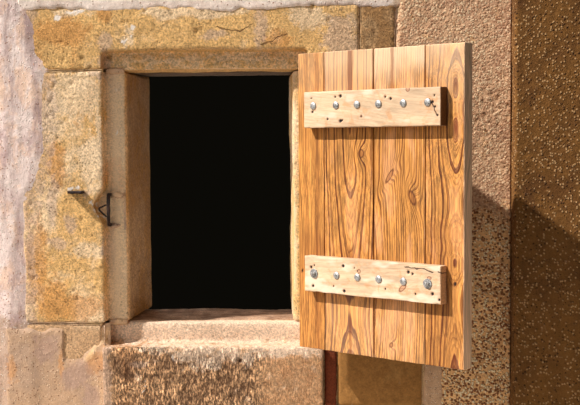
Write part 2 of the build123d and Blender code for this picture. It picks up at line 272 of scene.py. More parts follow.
def grid_faces(index):
    """Four-cornered faces between the rows and columns of a grid of point numbers."""
    corners = (index[:-1, :-1], index[1:, :-1], index[1:, 1:], index[:-1, 1:])
    return np.stack(corners, axis=-1).reshape(-1, 4)


def box_grid(places):
    """Points and faces of a closed box, its sides cut at the places given along each axis."""
    points, faces, count = [], [], 0
    for axis in range(3):
        one, other = (axis + 1) % 3, (axis + 2) % 3
        for end in (0, -1):
            side = np.empty((len(places[one]), len(places[other]), 3))
            side[..., axis] = places[axis][end]
            side[..., one], side[..., other] = np.meshgrid(places[one], places[other], indexing="ij")
            index = count + np.arange(side[..., 0].size).reshape(side.shape[:2])
            quads = grid_faces(index)
            faces.append(quads if end else quads[:, ::-1])
            points.append(side.reshape(-1, 3))
            count += index.size
    points, same = np.unique(np.round(np.concatenate(points), 7), axis=0, return_inverse=True)
    return points, same.ravel()[np.concatenate(faces)]


def cuts(low, high, step, edge):
    """Places about step apart from low to high, closer at both ends where an arris is rounded."""
    inner = np.linspace(low + edge, high - edge, max(3, round((high - low) / step)))
    return np.concatenate(((low, low + edge / 3), inner, (high - edge / 3, high)))


def round_off(points, low, high, radius):
    """Rounds the arrises of a box; the radius may differ from point to point."""
    radius = np.broadcast_to(radius, len(points))[:, None]
    core = np.clip(points, low + radius, high - radius)
    offset = points - core
    length = np.linalg.norm(offset, axis=1, keepdims=True)
    return core + offset * radius / np.maximum(length, 1e-9)


def lathe(profile, sides, phase=0.0):
    """Points and faces turned round the third axis from (radius, height) pairs, closed at both ends."""
    turns = np.arange(sides) * 2 * math.pi / sides + phase
    rings = [np.stack((r * np.cos(turns), r * np.sin(turns), np.full(sides, h)), 1) for r, h in profile]
    faces = []
    for ring in range(len(profile) - 1):
        for side in range(sides):
            after = (side + 1) % sides
            low, high = ring * sides, (ring + 1) * sides
            faces.append((low + side, low + after, high + after, high + side))
    last = (len(profile) - 1) * sides
    faces.append(tuple(reversed(range(sides))))
    faces.append(tuple(range(last, last + sides)))
    return np.concatenate(rings), faces


def joined(parts):
    """Several (points, faces) as one."""
    points, faces, count = [], [], 0
    for part_points, part_faces in parts:
        points.append(part_points)
        faces += [tuple(int(corner) + count for corner in face) for face in part_faces]
        count += len(part_points)
    return np.concatenate(points), faces


def to_frame(places):
    """Places along, up and inwards from the shutter's pin, as points of the frame."""
    return places @ shutter_axes + pin


def shutter_box(node):
    """Lowest and highest corner of a node, measured along, up and inwards from the shutter's pin."""
    places = (read_points(frame["nodes"][node].data) - pin) @ shutter_axes.T
    return places.min(axis=0), places.max(axis=0)


# Colours and shader nodes
def colour(red, green, blue):
    """A screen colour, 0 to 255, as the linear colour that a shader takes."""
    linear = [((c / 255 + 0.055) / 1.055) ** 2.4 if c > 10 else c / 255 / 12.92 for c in (red, green, blue)]
    return (*linear, 1.0)


def colours(*tints):
    return [colour(*tint) for tint in tints]


class Value:
    """What comes out of a shader node; reckoning with it adds maths nodes."""

    def __init__(self, nodes, socket):
        self.nodes = nodes
        self.socket = socket

    def __add__(self, other):
        return self.nodes.maths("ADD", self, other)

    def __sub__(self, other):
        return self.nodes.maths("SUBTRACT", self, other)

    def __rsub__(self, other):
        return self.nodes.maths("SUBTRACT", other, self)

    def __mul__(self, other):
        return self.nodes.maths("MULTIPLY", self, other)

    def __truediv__(self, other):
        return self.nodes.maths("DIVIDE", self, other)

    def __pow__(self, power):
        return self.nodes.maths("POWER", self, power)


class Nodes:
    """Short ways to add nodes to one tree."""

    def __init__(self, tree):
        self.tree = tree

    def feed(self, socket, value):
        """Links a socket to a value, or sets it to a number, vector or colour."""
        if isinstance(value, Value):
            self.tree.links.new(value.socket, socket)
        else:
            socket.default_value = value

    def add(self, kind, inputs=(), **settings):
        node = self.tree.nodes.new("ShaderNode" + kind)
        for name, value in settings.items():
            setattr(node, name, value)
        for socket, value in dict(inputs).items():
            self.feed(node.inputs[socket], value)
        return node

    def out(self, node, output=0):
        return Value(self, node.outputs[output])

    def place(self):
        return self.out(self.add("TexCoord"), "Object")

    def mark(self, name):
        return self.out(self.add("Attribute", attribute_name=name), "Fac")

    def moved(self, vector, location=(0, 0, 0), scale=(1, 1, 1)):
        return self.out(self.add("Mapping", {"Vector": vector, "Location": location, "Scale": scale}))

    def noise(self, vector, scale, detail=3.0, roughness=0.6, distortion=0.0):
        inputs = {"Vector": vector, "Scale": scale, "Detail": detail}
        inputs |= {"Roughness": roughness, "Distortion": distortion}
        return self.out(self.add("TexNoise", inputs), "Fac")

    def cells(self, vector, scale):
        """Distance to the nearest of many scattered spots, and two random numbers of that spot."""
        spread = self.add("TexVoronoi", {"Vector": vector, "Scale": scale})
        numbers = self.add("SeparateColor", {0: self.out(spread, "Color")})
        return self.out(spread, "Distance"), self.out(numbers, 0), self.out(numbers, 1)

    def maths(self, operation, first, second=0.0):
        return self.out(self.add("Math", {0: first, 1: second}, operation=operation))

    def vector(self, operation, first, second=(0, 0, 0), output=0):
        return self.out(self.add("VectorMath", {0: first, 1: second}, operation=operation), output)

    def combined(self, **axes):
        return self.out(self.add("CombineXYZ", axes))

    def remap(self, value, low, high, to_low=0.0, to_high=1.0):
        inputs = {"Value": value, "From Min": low, "From Max": high, "To Min": to_low, "To Max": to_high}
        return self.out(self.add("MapRange", inputs, interpolation_type="SMOOTHSTEP"))

    def mix(self, factor, first, second, blend="MIX"):
        inputs = {"Factor": factor, 6: first, 7: second}
        return self.out(self.add("Mix", inputs, data_type="RGBA", blend_type=blend), 2)

    def broken(self, mark, noise):
        """A mark from the mesh with its border broken up by a noise."""
        return self.remap(self.mark(mark) * 1.6 + (noise * 3.2 - 2.0), 0.1, 0.9)

    def shade(self, base, amount):
        """The colour made lighter or darker by a number that changes over the surface."""
        grey = self.out(self.add("CombineColor", {"Red": amount, "Green": amount, "Blue": amount}))
        return self.mix(1.0, base, grey, "MULTIPLY")

    def varied(self, base, noise, darkest, lightest):
        """The colour made darker and lighter by a noise, most of which lies between 0.3 and 0.7."""
        return self.shade(base, self.remap(noise, 0.3, 0.7, darkest, lightest))

    def group(self, name, inputs):
        node = self.tree.nodes.new("ShaderNodeGroup")
        node.node_tree = bpy.data.node_groups[name]
        for socket, value in inputs.items():
            self.feed(node.inputs[socket], value)
        return {socket.name: Value(self, socket) for socket in node.outputs}


def new_group(name, inputs, outputs):
    """An empty node group. Returns its helper, its inputs and a call that takes its outputs in order.

    Inputs are given with their defaults: None or four numbers is a colour, three numbers a vector.
    """
    tree = bpy.data.node_groups.new(name, "ShaderNodeTree")
    for socket, default in inputs.items():
        size = 1 if isinstance(default, float) else len(default or "RGBA")
        kind = {1: "Float", 3: "Vector", 4: "Color"}[size]
        made = tree.interface.new_socket(socket, in_out="INPUT", socket_type="NodeSocket" + kind)
        if default is not None:
            made.default_value = default
    for socket in outputs:
        kind = "Color" if socket == "Color" else "Float"
        tree.interface.new_socket(socket, in_out="OUTPUT", socket_type="NodeSocket" + kind)
    nodes = Nodes(tree)
    inlet = {socket.name: Value(nodes, socket) for socket in tree.nodes.new("NodeGroupInput").outputs}
    outlet = tree.nodes.new("NodeGroupOutput").inputs

    def give(*values):
        for socket, value in zip(outputs, values):
            nodes.feed(outlet[socket], value)

    return nodes, inlet, give


surface_outputs = ("Color", "Roughness", "Height")


def make_stone_group():
    """Stone face: blotches, marks from the mesh, granules, pits and its own wear and hollows, with painted
    shade in the pits, the sunk hollows and the chisel grooves, and painted light on the chisel ridges.
    """
    inputs = {"Main": None, "Pale": None, "Stain": None, "Dark": None, "Pale Share": 0.5}
    inputs |= {"Stain Share": 0.4, "Blotch": 6.0, "Pits": 1.0, "Grain": 1.0}
    nodes, inlet, give = new_group("Stone face", inputs, surface_outputs)
    place = nodes.place()
    blotch = nodes.noise(place, inlet["Blotch"], 5, 0.62, 0.3)
    pale_from = 0.75 - inlet["Pale Share"] * 0.5
    shown = nodes.mix(nodes.remap(blotch, pale_from, pale_from + 0.2) * 0.8, inlet["Main"], inlet["Pale"])
    run = nodes.noise(nodes.moved(place, (3.1, 0.4, 1.7), (1.0, 1.0, 0.55)), 7, 5, 0.62, 0.2)
    stain_from = 0.78 - inlet["Stain Share"] * 0.5
    shown = nodes.mix(nodes.remap(run, stain_from, stain_from + 0.2) * 0.75, shown, inlet["Stain"])
    ragged = nodes.noise(place, 45, 6, 0.72, 0.3)
    # Washed patches: pale lime and wear, and painted light where the seats are marked.
    patches = {"washed": (0.75, inlet["Pale"]), "rusty": (0.5, inlet["Stain"])}
    # Lilac patches: lime, and painted shade where the jamb's seat and reveal are marked.
    patches["lilac"] = (0.55, colour(204, 176, 158))
    for mark, (share, tint) in patches.items():
        shown = nodes.mix(nodes.broken(mark, ragged) * share, shown, tint)
    mottle = nodes.noise(place, 62, 4, 0.7)
    granules = nodes.noise(place, 165, 4, 0.78)
    strong = inlet["Grain"] * 0.46
    shown = nodes.varied(shown, mottle, 0.86, 1.12)
    shown = nodes.varied(shown, granules, 1.0 - strong, strong * 0.75 + 1.0)
    strokes = nodes.noise(nodes.moved(place, scale=(1.0, 1.0, 0.36)), 210, 4, 0.7)
    # Painted light and shade: the chisel strokes are lightened on their ridges and darkened in their grooves,
    # by the same amount that raises and lowers the relief.
    chiselled = nodes.mark("tooled") * nodes.remap(strokes, 0.38, 0.62, -0.75, 1.5)
    shown = nodes.shade(shown, chiselled + 1.0)
    eaten = nodes.remap(nodes.noise(nodes.moved(place, (9, 2, 4)), 11, 3, 0.6), 0.42, 0.64, 0.05, 0.75)
    distance, size, _ = nodes.cells(place, 118)
    inside = nodes.remap(size, 0.3, 1.0, 0.05, 0.34) - distance + 0.25 - granules * 0.5
    speck = nodes.remap(nodes.noise(nodes.moved(place, (1, 7, 2)), 210, 3, 0.7), 0.57, 0.66)
    pit = nodes.maths("MAXIMUM", nodes.remap(inside, -0.06, 0.06), speck * 0.45) * eaten * inlet["Pits"]
    # Painted shade: the pits and specks are darkened to stand for the shade in them, which the bump alone
    # does not cast.
    shown = nodes.mix(pit * 0.75, shown, inlet["Dark"])
    # Painted shade: the deeper the mesh has sunk a point, the darker its colour, as shade in hollows.
    shown = nodes.mix(nodes.remap(nodes.mark("sunk"), 0.35, 1.2) * 0.6, shown, inlet["Dark"])
    # Worn arrises in the pale tint; on the jamb's seat the mark also paints light.
    shown = nodes.mix(nodes.remap(nodes.mark("worn"), 0.12, 0.9) * 0.75, shown, inlet["Pale"])
    # Soot, and painted shade where the shaping marks the reveal, the chisel hollows and the holes, in the
    # dark tint.
    shown = nodes.mix(nodes.mark("soot") * 0.9, shown, inlet["Dark"])
    shown = nodes.mix(nodes.broken("limed", ragged), shown, colour(248, 234, 222))
    height = granules * 1.2 + mottle * 0.45 + chiselled - pit * 0.6
    give(shown, nodes.remap(mottle, 0.3, 0.7, 0.95, 0.82), height)


def make_crack_group():
    """Crack: marks a wavering line between two places on the wall's front."""
    inputs = {"From": (0.0, 0.0, 0.0), "To": (0.0, 0.0, 0.0), "Width": 0.002}
    nodes, inlet, give = new_group("Crack", inputs, ("Mask",))
    place = nodes.vector("MULTIPLY", nodes.place(), (1, 0, 1))
    waver = nodes.out(nodes.add("TexNoise", {"Vector": place, "Scale": 45, "Detail": 4}), "Color")
    waver = nodes.vector("MULTIPLY", nodes.vector("SUBTRACT", waver, (0.5, 0.5, 0.5)), (0.022, 0, 0.022))
    offset = nodes.vector("SUBTRACT", nodes.vector("ADD", place, waver), inlet["From"])
    run = nodes.vector("SUBTRACT", inlet["To"], inlet["From"])
    reach = nodes.vector("DOT_PRODUCT", offset, run, "Value")
    length = nodes.vector("DOT_PRODUCT", run, run, "Value")
    part = nodes.out(nodes.add("Clamp", {"Value": reach / length}))
    nearest = nodes.out(nodes.add("VectorMath", {0: run, "Scale": part}, operation="SCALE"))
    distance = nodes.vector("LENGTH", nodes.vector("SUBTRACT", offset, nearest), output="Value")
    give(nodes.remap(distance / inlet["Width"], 0.4, 1.0, 1.0, 0.0))


def make_lime_group():
    """Lime: a pale coat with streaks, dirt, sand grains that show through, and damp low down."""
    inputs = {"Coat": None, "Dirt": None, "Warm": (0.9, 0.62, 0.42, 1.0), "Warm Share": 0.0}
    inputs |= {"Grit Light": None, "Grit Dark": None, "Grit Share": 0.4, "Grit Scale": 200.0}
    inputs |= {"Grit Size": 0.55, "Streaks": 0.3}
    nodes, inlet, give = new_group("Lime", inputs, surface_outputs)
    place = nodes.place()
    streak = nodes.noise(nodes.moved(place, (0.3, 0, 0), (1.0, 1.0, 0.14)), 30, 5, 0.65, 0.5)
    cloud = nodes.noise(place, 8, 6, 0.66, 0.5)
    dirt = nodes.remap(streak, 0.42, 0.66) * inlet["Streaks"] + nodes.remap(cloud, 0.42, 0.72, 0.0, 0.7)
    peach = nodes.noise(nodes.moved(place, (4, 1, 2), (1.0, 1.0, 0.6)), 17, 6, 0.7, 0.4)
    warm = nodes.remap(peach, 0.46, 0.6) * inlet["Warm Share"]
    shown = nodes.mix(warm, inlet["Coat"], inlet["Warm"])
    shown = nodes.mix(nodes.maths("MINIMUM", dirt, 1.0), shown, inlet["Dirt"])
    ragged = nodes.noise(place, 24, 5, 0.68, 0.4)
    damp = nodes.mix(cloud, colour(194, 152, 114), colour(170, 148, 132))
    shown = nodes.mix(nodes.broken("damp", ragged) * 0.75, shown, damp)
    shown = nodes.mix(nodes.broken("ochre", ragged) * 0.5, shown, colour(206, 144, 84))
    violet = nodes.broken("violet", ragged)
    shown = nodes.mix(violet * 0.5, shown, colour(168, 138, 128))
    shown = nodes.mix(nodes.broken("pale", ragged) * 0.4, shown, colour(236, 200, 152))
    distance, kind, lightness = nodes.cells(place, inlet["Grit Scale"])
    grain = nodes.remap(distance, inlet["Grit Size"] - 0.35, inlet["Grit Size"], 1.0, 0.0)
    chosen = nodes.maths("GREATER_THAN", kind, 1.0 - inlet["Grit Share"])
    grit = grain * chosen * nodes.remap(violet, 0.0, 1.0, 1.0, 0.45)
    grit_colour = nodes.mix(nodes.remap(lightness, 0.42, 0.58), inlet["Grit Dark"], inlet["Grit Light"])
    shown = nodes.mix(grit * 0.9, shown, grit_colour)
    fine = nodes.noise(place, 240, 4, 0.75)
    middle = nodes.noise(place, 48, 5, 0.65)
    shown = nodes.varied(shown, fine, 0.84, 1.12)
    shown = nodes.varied(shown, middle, 0.9, 1.08)
    height = fine * 0.5 + (grit * 0.7 + middle * 0.9)
    give(shown, nodes.remap(fine, 0.3, 0.7, 0.96, 0.85), height)


def make_ring_group():
    """Annual rings: late wood where rings round the heart cross the surface, with fibres along it."""
    inputs = {"Across": 0.0, "Inwards": 0.0, "Along": 0.0, "Push": 0.0, "Spacing": 0.008}
    nodes, inlet, give = new_group("Annual rings", inputs, ("Late Wood", "Fibre", "Tone"))
    across, inwards = inlet["Across"], inlet["Inwards"]
    place = nodes.combined(X=across, Y=inwards, Z=inlet["Along"])
    wander = nodes.noise(nodes.moved(place, scale=(1, 1, 0.16)), 26, 3, 0.55)
    radius = nodes.maths("SQRT", across**2.0 + inwards**2.0) + inlet["Push"]
    count = ((wander - 0.5) * 0.010 + radius) / inlet["Spacing"]
    strength = nodes.noise(nodes.combined(X=nodes.maths("FLOOR", count)), 0.73, 0)
    phase = nodes.maths("FRACT", count)
    late = nodes.remap(phase, 0.3, 0.82) * nodes.remap(phase, 0.88, 1.0, 1.0, 0.0)
    late = late * nodes.remap(strength, 0.38, 0.6, 0.25, 1.0)
    phase = nodes.maths("FRACT", count * 3.0)
    fine = nodes.remap(phase, 0.3, 0.9) * nodes.remap(phase, 0.9, 1.0, 1.0, 0.0)
    thread = nodes.noise(nodes.moved(place, scale=(1, 1, 0.02)), 620, 3, 0.65)
    strand = nodes.noise(nodes.moved(place, (2, 0, 0), (1, 1, 0.035)), 170, 4, 0.7)
    tone = nodes.noise(nodes.moved(place, (5, 0, 0), (1, 1, 0.22)), 18, 4, 0.65)
    give(fine * 0.35 + late * 0.85, strand * 0.65 + thread * 0.35, tone)


def make_knot_group():
    """Knot: pushes the rings aside round a place, and marks its own core and rim."""
    inputs = {"Across": 0.0, "Along": 0.0, "At Across": 0.0, "At Along": 0.0, "Radius": 0.008}
    inputs |= {"Stretch": 1.4, "Lean": 0.0}
    nodes, inlet, give = new_group("Knot", inputs, ("Push", "Core", "Rim"))
    up = inlet["Along"] - inlet["At Along"]
    aside = inlet["Across"] - inlet["At Across"] - up * inlet["Lean"]
    up = up / inlet["Stretch"]
    distance = nodes.maths("SQRT", aside**2.0 + up**2.0) / inlet["Radius"]
    push = nodes.maths("EXPONENT", distance**2.0 * -0.16) * (inlet["Radius"] * 2.4)
    core = nodes.remap(distance, 0.75, 1.0, 1.0, 0.0)
    rim = nodes.remap(distance, 0.6, 0.9) * nodes.remap(distance, 0.95, 1.35, 1.0, 0.0)
    give(push, core, rim)


def make_rust_group():
    """Old iron: dark scale, brown rust and orange bloom, with pitting."""
    inputs = {"Scale": None, "Rust": None, "Bloom": None, "Bloom Share": 0.3}
    nodes, inlet, give = new_group("Old iron", inputs, (*surface_outputs, "Metallic"))
    place = nodes.place()
    patch = nodes.noise(place, 90, 4, 0.65)
    fine = nodes.noise(place, 700, 3, 0.7)
    bloom_from = 0.8 - inlet["Bloom Share"] * 0.5
    rust = nodes.remap(patch, 0.38, 0.6)
    shown = nodes.mix(rust, inlet["Scale"], inlet["Rust"])
    bloom = nodes.remap(nodes.noise(place, 210, 4, 0.7), bloom_from, bloom_from + 0.12)
    shown = nodes.mix(bloom, shown, inlet["Bloom"])
    shown = nodes.varied(shown, fine, 0.75, 1.2)
    roughness = nodes.remap(rust, 0.0, 1.0, 0.55, 0.9)
    give(shown, roughness, fine * 0.4 + patch * 0.8, nodes.remap(rust, 0.0, 1.0, 0.6, 0.1))


def new_material(name):
    """A material with only its principled shader; returns it, its node helper and the shader."""
    material = bpy.data.materials.new(name)
    material.use_nodes = True
    tree = material.node_tree
    tree.nodes.clear()
    nodes = Nodes(tree)
    shader = nodes.add("BsdfPrincipled")
    nodes.add("OutputMaterial", {"Surface": nodes.out(shader)})
    return material, nodes, shader


def finish_material(nodes, shader, shown, roughness, height, relief, specular=0.5, metallic=0.0):
    """Joins a colour, a roughness and a relief of that depth in metres to the shader."""
    bump = nodes.out(nodes.add("Bump", {"Height": height, "Distance": relief}))
    sockets = {"Base Color": shown, "Roughness": roughness, "Normal": bump, "Metallic": metallic}
    for socket, value in {**sockets, "Specular IOR Level": specular}.items():
        nodes.feed(shader.inputs[socket], value)


def add_crack(nodes, shown, height, ends, width, share, dark):
    """A colour and a height with a crack between two places added."""
    mask = nodes.group("Crack", {"From": ends[0], "To": ends[1], "Width": width})["Mask"]
    return nodes.mix(mask * share, shown, dark), height - mask


def stone_face(nodes, tints, amounts):
    """The stone group's node: main, pale, stain and dark tint, then amounts."""
    return nodes.group("Stone face", {**dict(zip(("Main", "Pale", "Stain", "Dark"), tints)), **amounts})


def lime_face(nodes, tints, amounts):
    """The lime group's node: coat, dirt, light and dark grit, then amounts."""
    return nodes.group("Lime", {**dict(zip(("Coat", "Dirt", "Grit Light", "Grit Dark"), tints)), **amounts})


def stone_material(name, tints, amounts, relief=0.005, cracks=()):
    """Dressed stone, with cracks between pairs of places."""
    material, nodes, shader = new_material(name)
    face = stone_face(nodes, tints, amounts)
    shown, height = face["Color"], face["Height"]
    for ends in cracks:
        shown, height = add_crack(nodes, shown, height, ends, 0.0021, 0.8, tints[3])
    finish_material(nodes, shader, shown, face["Roughness"], height, relief, 0.25)
    return material


# Rubble: its own colours and its mortar
rubble_tints = colours((182, 144, 98), (218, 190, 152), (156, 108, 64), (88, 66, 46))
rubble_mortar = colour(206, 182, 154)


def tinted_rubble(nodes, face):
    """Each stone in its own tint; returns the colour, the stones' tints and where the joints are."""
    tint = nodes.mark("tint")
    shown = nodes.shade(face["Color"], nodes.remap(tint, 0.0, 1.0, 0.7, 1.16))
    return shown, tint, nodes.remap(nodes.mark("joint"), 0.35, 0.75)


def rubble_material():
    """Rubble: mortar fills the joints that the mesh marks."""
    material, nodes, shader = new_material("rubble")
    _, pale, stain, dark = rubble_tints
    face = stone_face(nodes, rubble_tints, {"Pale Share": 0.6})
    shown, tint, joint = tinted_rubble(nodes, face)
    warm = nodes.remap(nodes.maths("FRACT", tint * 7.0), 0.5, 0.9, 0.0, 0.5)
    shown = nodes.mix(warm, shown, stain)
    amounts = {"Grit Share": 0.35, "Grit Scale": 150.0, "Streaks": 0.1}
    lime = lime_face(nodes, (rubble_mortar, stain, pale, dark), amounts)
    shown = nodes.mix(joint, shown, lime["Color"])
    height = nodes.mix(joint, face["Height"], lime["Height"])
    finish_material(nodes, shader, shown, face["Roughness"], height, 0.004, 0.2)
    return material


def pier_material():
    """Sandy roughcast on the pier's front and cheek, its dark tints painted shade, bare rubble on its end,
    back and top.
    """
    material, nodes, shader = new_material("pier_roughcast")
    # Painted shade: these dark brown tints stand for the shade of plants over the pier's roughcast.
    tints = colours((124, 84, 40), (84, 52, 26), (190, 150, 104), (70, 44, 26))
    sand = lime_face(nodes, tints, {"Grit Share": 0.6, "Grit Scale": 130.0, "Streaks": 0.15})
    face = stone_face(nodes, rubble_tints, {})
    stone, _, joint = tinted_rubble(nodes, face)
    stone = nodes.mix(joint, stone, rubble_mortar)
    axes = nodes.add("SeparateXYZ", {0: nodes.place()})
    bare = 0.0
    for axis, limit in enumerate((bay_right, wall_back, bay_top)):
        beyond = nodes.remap(nodes.out(axes, axis), limit - 0.020, limit - 0.016)
        bare = nodes.maths("MAXIMUM", beyond, bare)
    shown = nodes.mix(bare, sand["Color"], stone)
    height = nodes.mix(bare, sand["Height"], face["Height"])
    finish_material(nodes, shader, shown, sand["Roughness"], height, 0.004, 0.2)
    return material


def lime_material(name, tints, amounts, relief=0.003):
    """Plaster, roughcast or mortar."""
    material, nodes, shader = new_material(name)
    lime = lime_face(nodes, tints, amounts)
    finish_material(nodes, shader, lime["Color"], lime["Roughness"], lime["Height"], relief, 0.2)
    return material


def iron_material(name, scale, rust, bloom, share):
    """Iron with a share of it in orange bloom."""
    material, nodes, shader = new_material(name)
    iron = nodes.group("Old iron", {"Scale": scale, "Rust": rust, "Bloom": bloom, "Bloom Share": share})
    surface = (iron["Color"], iron["Roughness"], iron["Height"])
    finish_material(nodes, shader, *surface, 0.0008, metallic=iron["Metallic"])
    return material


def zinc_material():
    """Galvanised steel: pale spangled zinc, dull in its hollows."""
    material, nodes, shader = new_material("zinc_steel")
    place = nodes.place()
    _, tone, _ = nodes.cells(place, 420)
    shown = nodes.mix(tone, colour(150, 150, 152), colour(205, 204, 202))
    dull = nodes.remap(nodes.noise(place, 160, 4, 0.7), 0.5, 0.72) * 0.6
    shown = nodes.mix(dull, shown, colour(104, 92, 80))
    roughness = nodes.remap(tone, 0.0, 1.0, 0.35, 0.55)
    finish_material(nodes, shader, shown, roughness, nodes.noise(place, 500, 3, 0.6), 0.0003, metallic=0.8)
    return material


# Wood. Every plank's mesh holds its own places: across the grain, into the plank and along the grain.
def curve_of(nodes, value, pairs, low, high, top=0.2):
    """A bend through (place, height) pairs in mm, as a float curve from low to high, up to top."""
    node = nodes.add("FloatCurve", {"Value": (value - low) / (high - low)})
    curve = node.mapping.curves[0]
    while len(curve.points) < len(pairs):
        curve.points.new(0.5, 0.5)
    for point, pair in zip(curve.points, pairs):
        place, height = mm(*pair)
        point.location = ((place - low) / (high - low), height / top)
    node.mapping.update()
    return nodes.out(node) * top


# What a wood recipe says where it says nothing else
plain_wood = {
    "knots": (),
    "streaks": (),
    "cracks": (),
    "drift": 0.0,
    "contrast": 0.85,
    "strands": 1.0,
    "pinkish": 0.0,
    "stained": 0.0,
    "end": colour(98, 62, 36),
    "fade": 1.0,
    "pale": 0.0,
}


def wood_material(name, recipe, light, dark, faded, heart_red, weathered, relief):
    """Pine sawn round its own heart, with knots, nail holes and cracks where the recipe says."""
    material, nodes, shader = new_material(name)
    recipe = {**plain_wood, **recipe}
    across, inwards, length = (nodes.mark("grain_" + way) for way in ("across", "inwards", "along"))
    depth = curve_of(nodes, length, recipe["depths"], recipe["low"], recipe["high"])
    push, core, rim = 0.0, 0.0, 0.0
    for *measures, stretch, lean in recipe["knots"]:
        inputs = dict(zip(("At Across", "At Along", "Radius"), mm(*measures)))
        inputs |= {"Across": across, "Along": length, "Stretch": stretch, "Lean": lean}
        knot = nodes.group("Knot", inputs)
        push = knot["Push"] + push
        core = nodes.maths("MAXIMUM", knot["Core"], core)
        rim = nodes.maths("MAXIMUM", knot["Rim"], rim)
    sideways = length * recipe["drift"] + (across - recipe["heart"])
    inputs = {"Across": sideways, "Inwards": depth + inwards, "Along": length}
    rings = nodes.group("Annual rings", {**inputs, "Push": push, "Spacing": recipe["spacing"]})
    fibre, tone = rings["Fibre"], rings["Tone"]
    shown = nodes.mix(nodes.remap(rings["Late Wood"], 0.0, 1.0, 0.0, recipe["contrast"]), light, dark)
    strands = recipe["strands"]
    shown = nodes.shade(shown, nodes.remap(fibre, 0.38, 0.62, 1 - 0.48 * strands, 1 + 0.26 * strands))
    shown = nodes.varied(shown, tone, 0.80, 1.14)
    pink = nodes.shade(colour(206, 150, 108), nodes.remap(fibre, 0.3, 0.7, 0.7, 1.2))
    shown = nodes.mix(nodes.remap(tone, 0.50, 0.62, 0.0, recipe["pinkish"]), shown, pink)
    stained = nodes.remap(nodes.noise(nodes.moved(nodes.place(), (6, 2, 1)), 26, 5, 0.7, 0.6), 0.5, 0.66)
    shown = nodes.mix(stained * recipe["stained"], shown, colour(196, 132, 78))
    shown = nodes.mix(nodes.mark("faded") * 0.68, shown, faded)
    for at_across, width, low_end, high_end, amount in recipe["streaks"]:
        aside = (fibre - 0.5) * (width * 1.6) + nodes.maths("ABSOLUTE", across - at_across)
        band = nodes.remap(aside, width * 0.3, width, amount, 0.0)
        band = band * nodes.remap(length, low_end, low_end + 0.05)
        band = band * nodes.remap(length, high_end - 0.05, high_end, 1.0, 0.0)
        shown = nodes.mix(band, shown, heart_red)
    if recipe["knots"]:
        shown = nodes.mix(core * 0.4, shown, heart_red)
        shown = nodes.mix(rim * 0.8, shown, nodes.shade(heart_red, 0.5))
    # Worn and weathered wood in the weathered tint; on the boards that tint also paints light on the free
    # edge and highlights on the arrises.
    worn_fibres = nodes.remap(fibre, 0.36, 0.64, 0.72, 1.25)
    grey = nodes.remap(nodes.mark("worn"), 0.1, 0.9, 0.0, 0.9)
    shown = nodes.mix(grey, shown, nodes.shade(weathered, worn_fibres))
    # End grain in the recipe's end tint, which on the battens also paints light and shade.
    end_grain = nodes.remap(nodes.mark("end_grain") + fibre, 0.7, 1.2)
    shown = nodes.mix(end_grain, shown, nodes.shade(recipe["end"], worn_fibres))
    hole = nodes.mark("hole")
    shown = nodes.mix(nodes.remap(hole, 0.02, 0.4, 0.0, 0.5), shown, colour(120, 62, 30))
    # Painted shade: the holes' insides are darkened nearly to black; the brown halo round them is rust.
    shown = nodes.mix(nodes.remap(hole, 0.3, 0.7), shown, colour(28, 16, 12))
    height = rings["Late Wood"] * (0.7 * recipe["contrast"]) + fibre * 0.5
    for ends in recipe["cracks"]:
        shown, height = add_crack(nodes, shown, height, ends, 0.0022, 0.9, colour(58, 28, 16))
    roughness = nodes.remap(fibre, 0.3, 0.7, 0.72, 0.55)
    finish_material(nodes, shader, shown, roughness, height, relief, 0.3)
    return material


# Settings that a user would change
def colour_setting(name, description, *tint):
    return bpy.props.FloatVectorProperty(
        name=name, description=description, subtype="COLOR", size=4, default=colour(*tint)
    )


def length_setting(name, description, default):
    return bpy.props.FloatProperty(name=name, description=description, subtype="DISTANCE", default=default)


class StoneSettings(bpy.types.PropertyGroup):
    ochre: colour_setting("Ochre stone", "Main colour of the golden stone of lintel and jambs", 230, 184, 120)
    pale: colour_setting("Pale stone", "Colour of worn arrises and washed patches", 246, 216, 178)
    voxel: length_setting("Finest grain", "Edge of the voxels that the dressed stones are made from", 0.0055)
    pit_depth: length_setting("Pit depth", "How deep weather has pitted the stones", 0.0024)


class LimeSettings(bpy.types.PropertyGroup):
    plaster: colour_setting("Plaster", "Colour of the smooth lime plaster at the left", 246, 226, 218)
    roughcast: colour_setting(
        "Roughcast", "Colour of the lime between the pebbles of the roughcast", 246, 194, 136
    )
    step: length_setting("Step", "Distance between the points of the lime skins", 0.0042)


class WoodSettings(bpy.types.PropertyGroup):
    board_light: colour_setting(
        "Board, early wood", "Colour between the grain lines of the boards", 206, 142, 72
    )
    board_dark: colour_setting("Board, late wood", "Colour of the grain lines of the boards", 98, 42, 12)
    batten_light: colour_setting(
        "Batten, early wood", "Colour between the grain lines of the battens", 206, 176, 144
    )
    arris: length_setting("Worn arris", "Radius to which handling has rounded the boards' edges", 0.0022)


class StageSettings(bpy.types.PropertyGroup):
    sun: bpy.props.FloatProperty(name="Sun", description="Strength of the key light", default=6.8)
    fill: bpy.props.FloatProperty(
        name="Fill", description="Power of the large soft light in front", subtype="POWER", default=90.0
    )
    floor_radius: length_setting("Floor radius", "Radius of the pale floor", 2.0)


# Stones
def raked_joints(points):
    """How far each point lies under the bare faces of the bay, as a raked joint, and whether on them."""
    x, y, z = points.T
    depth = np.min((wall_back - y, x - bay_left, bay_right - x, bay_top - z), axis=0)
    return smooth(depth, *joint_begins) * (depth < joint_ends), depth < stone_faces_end


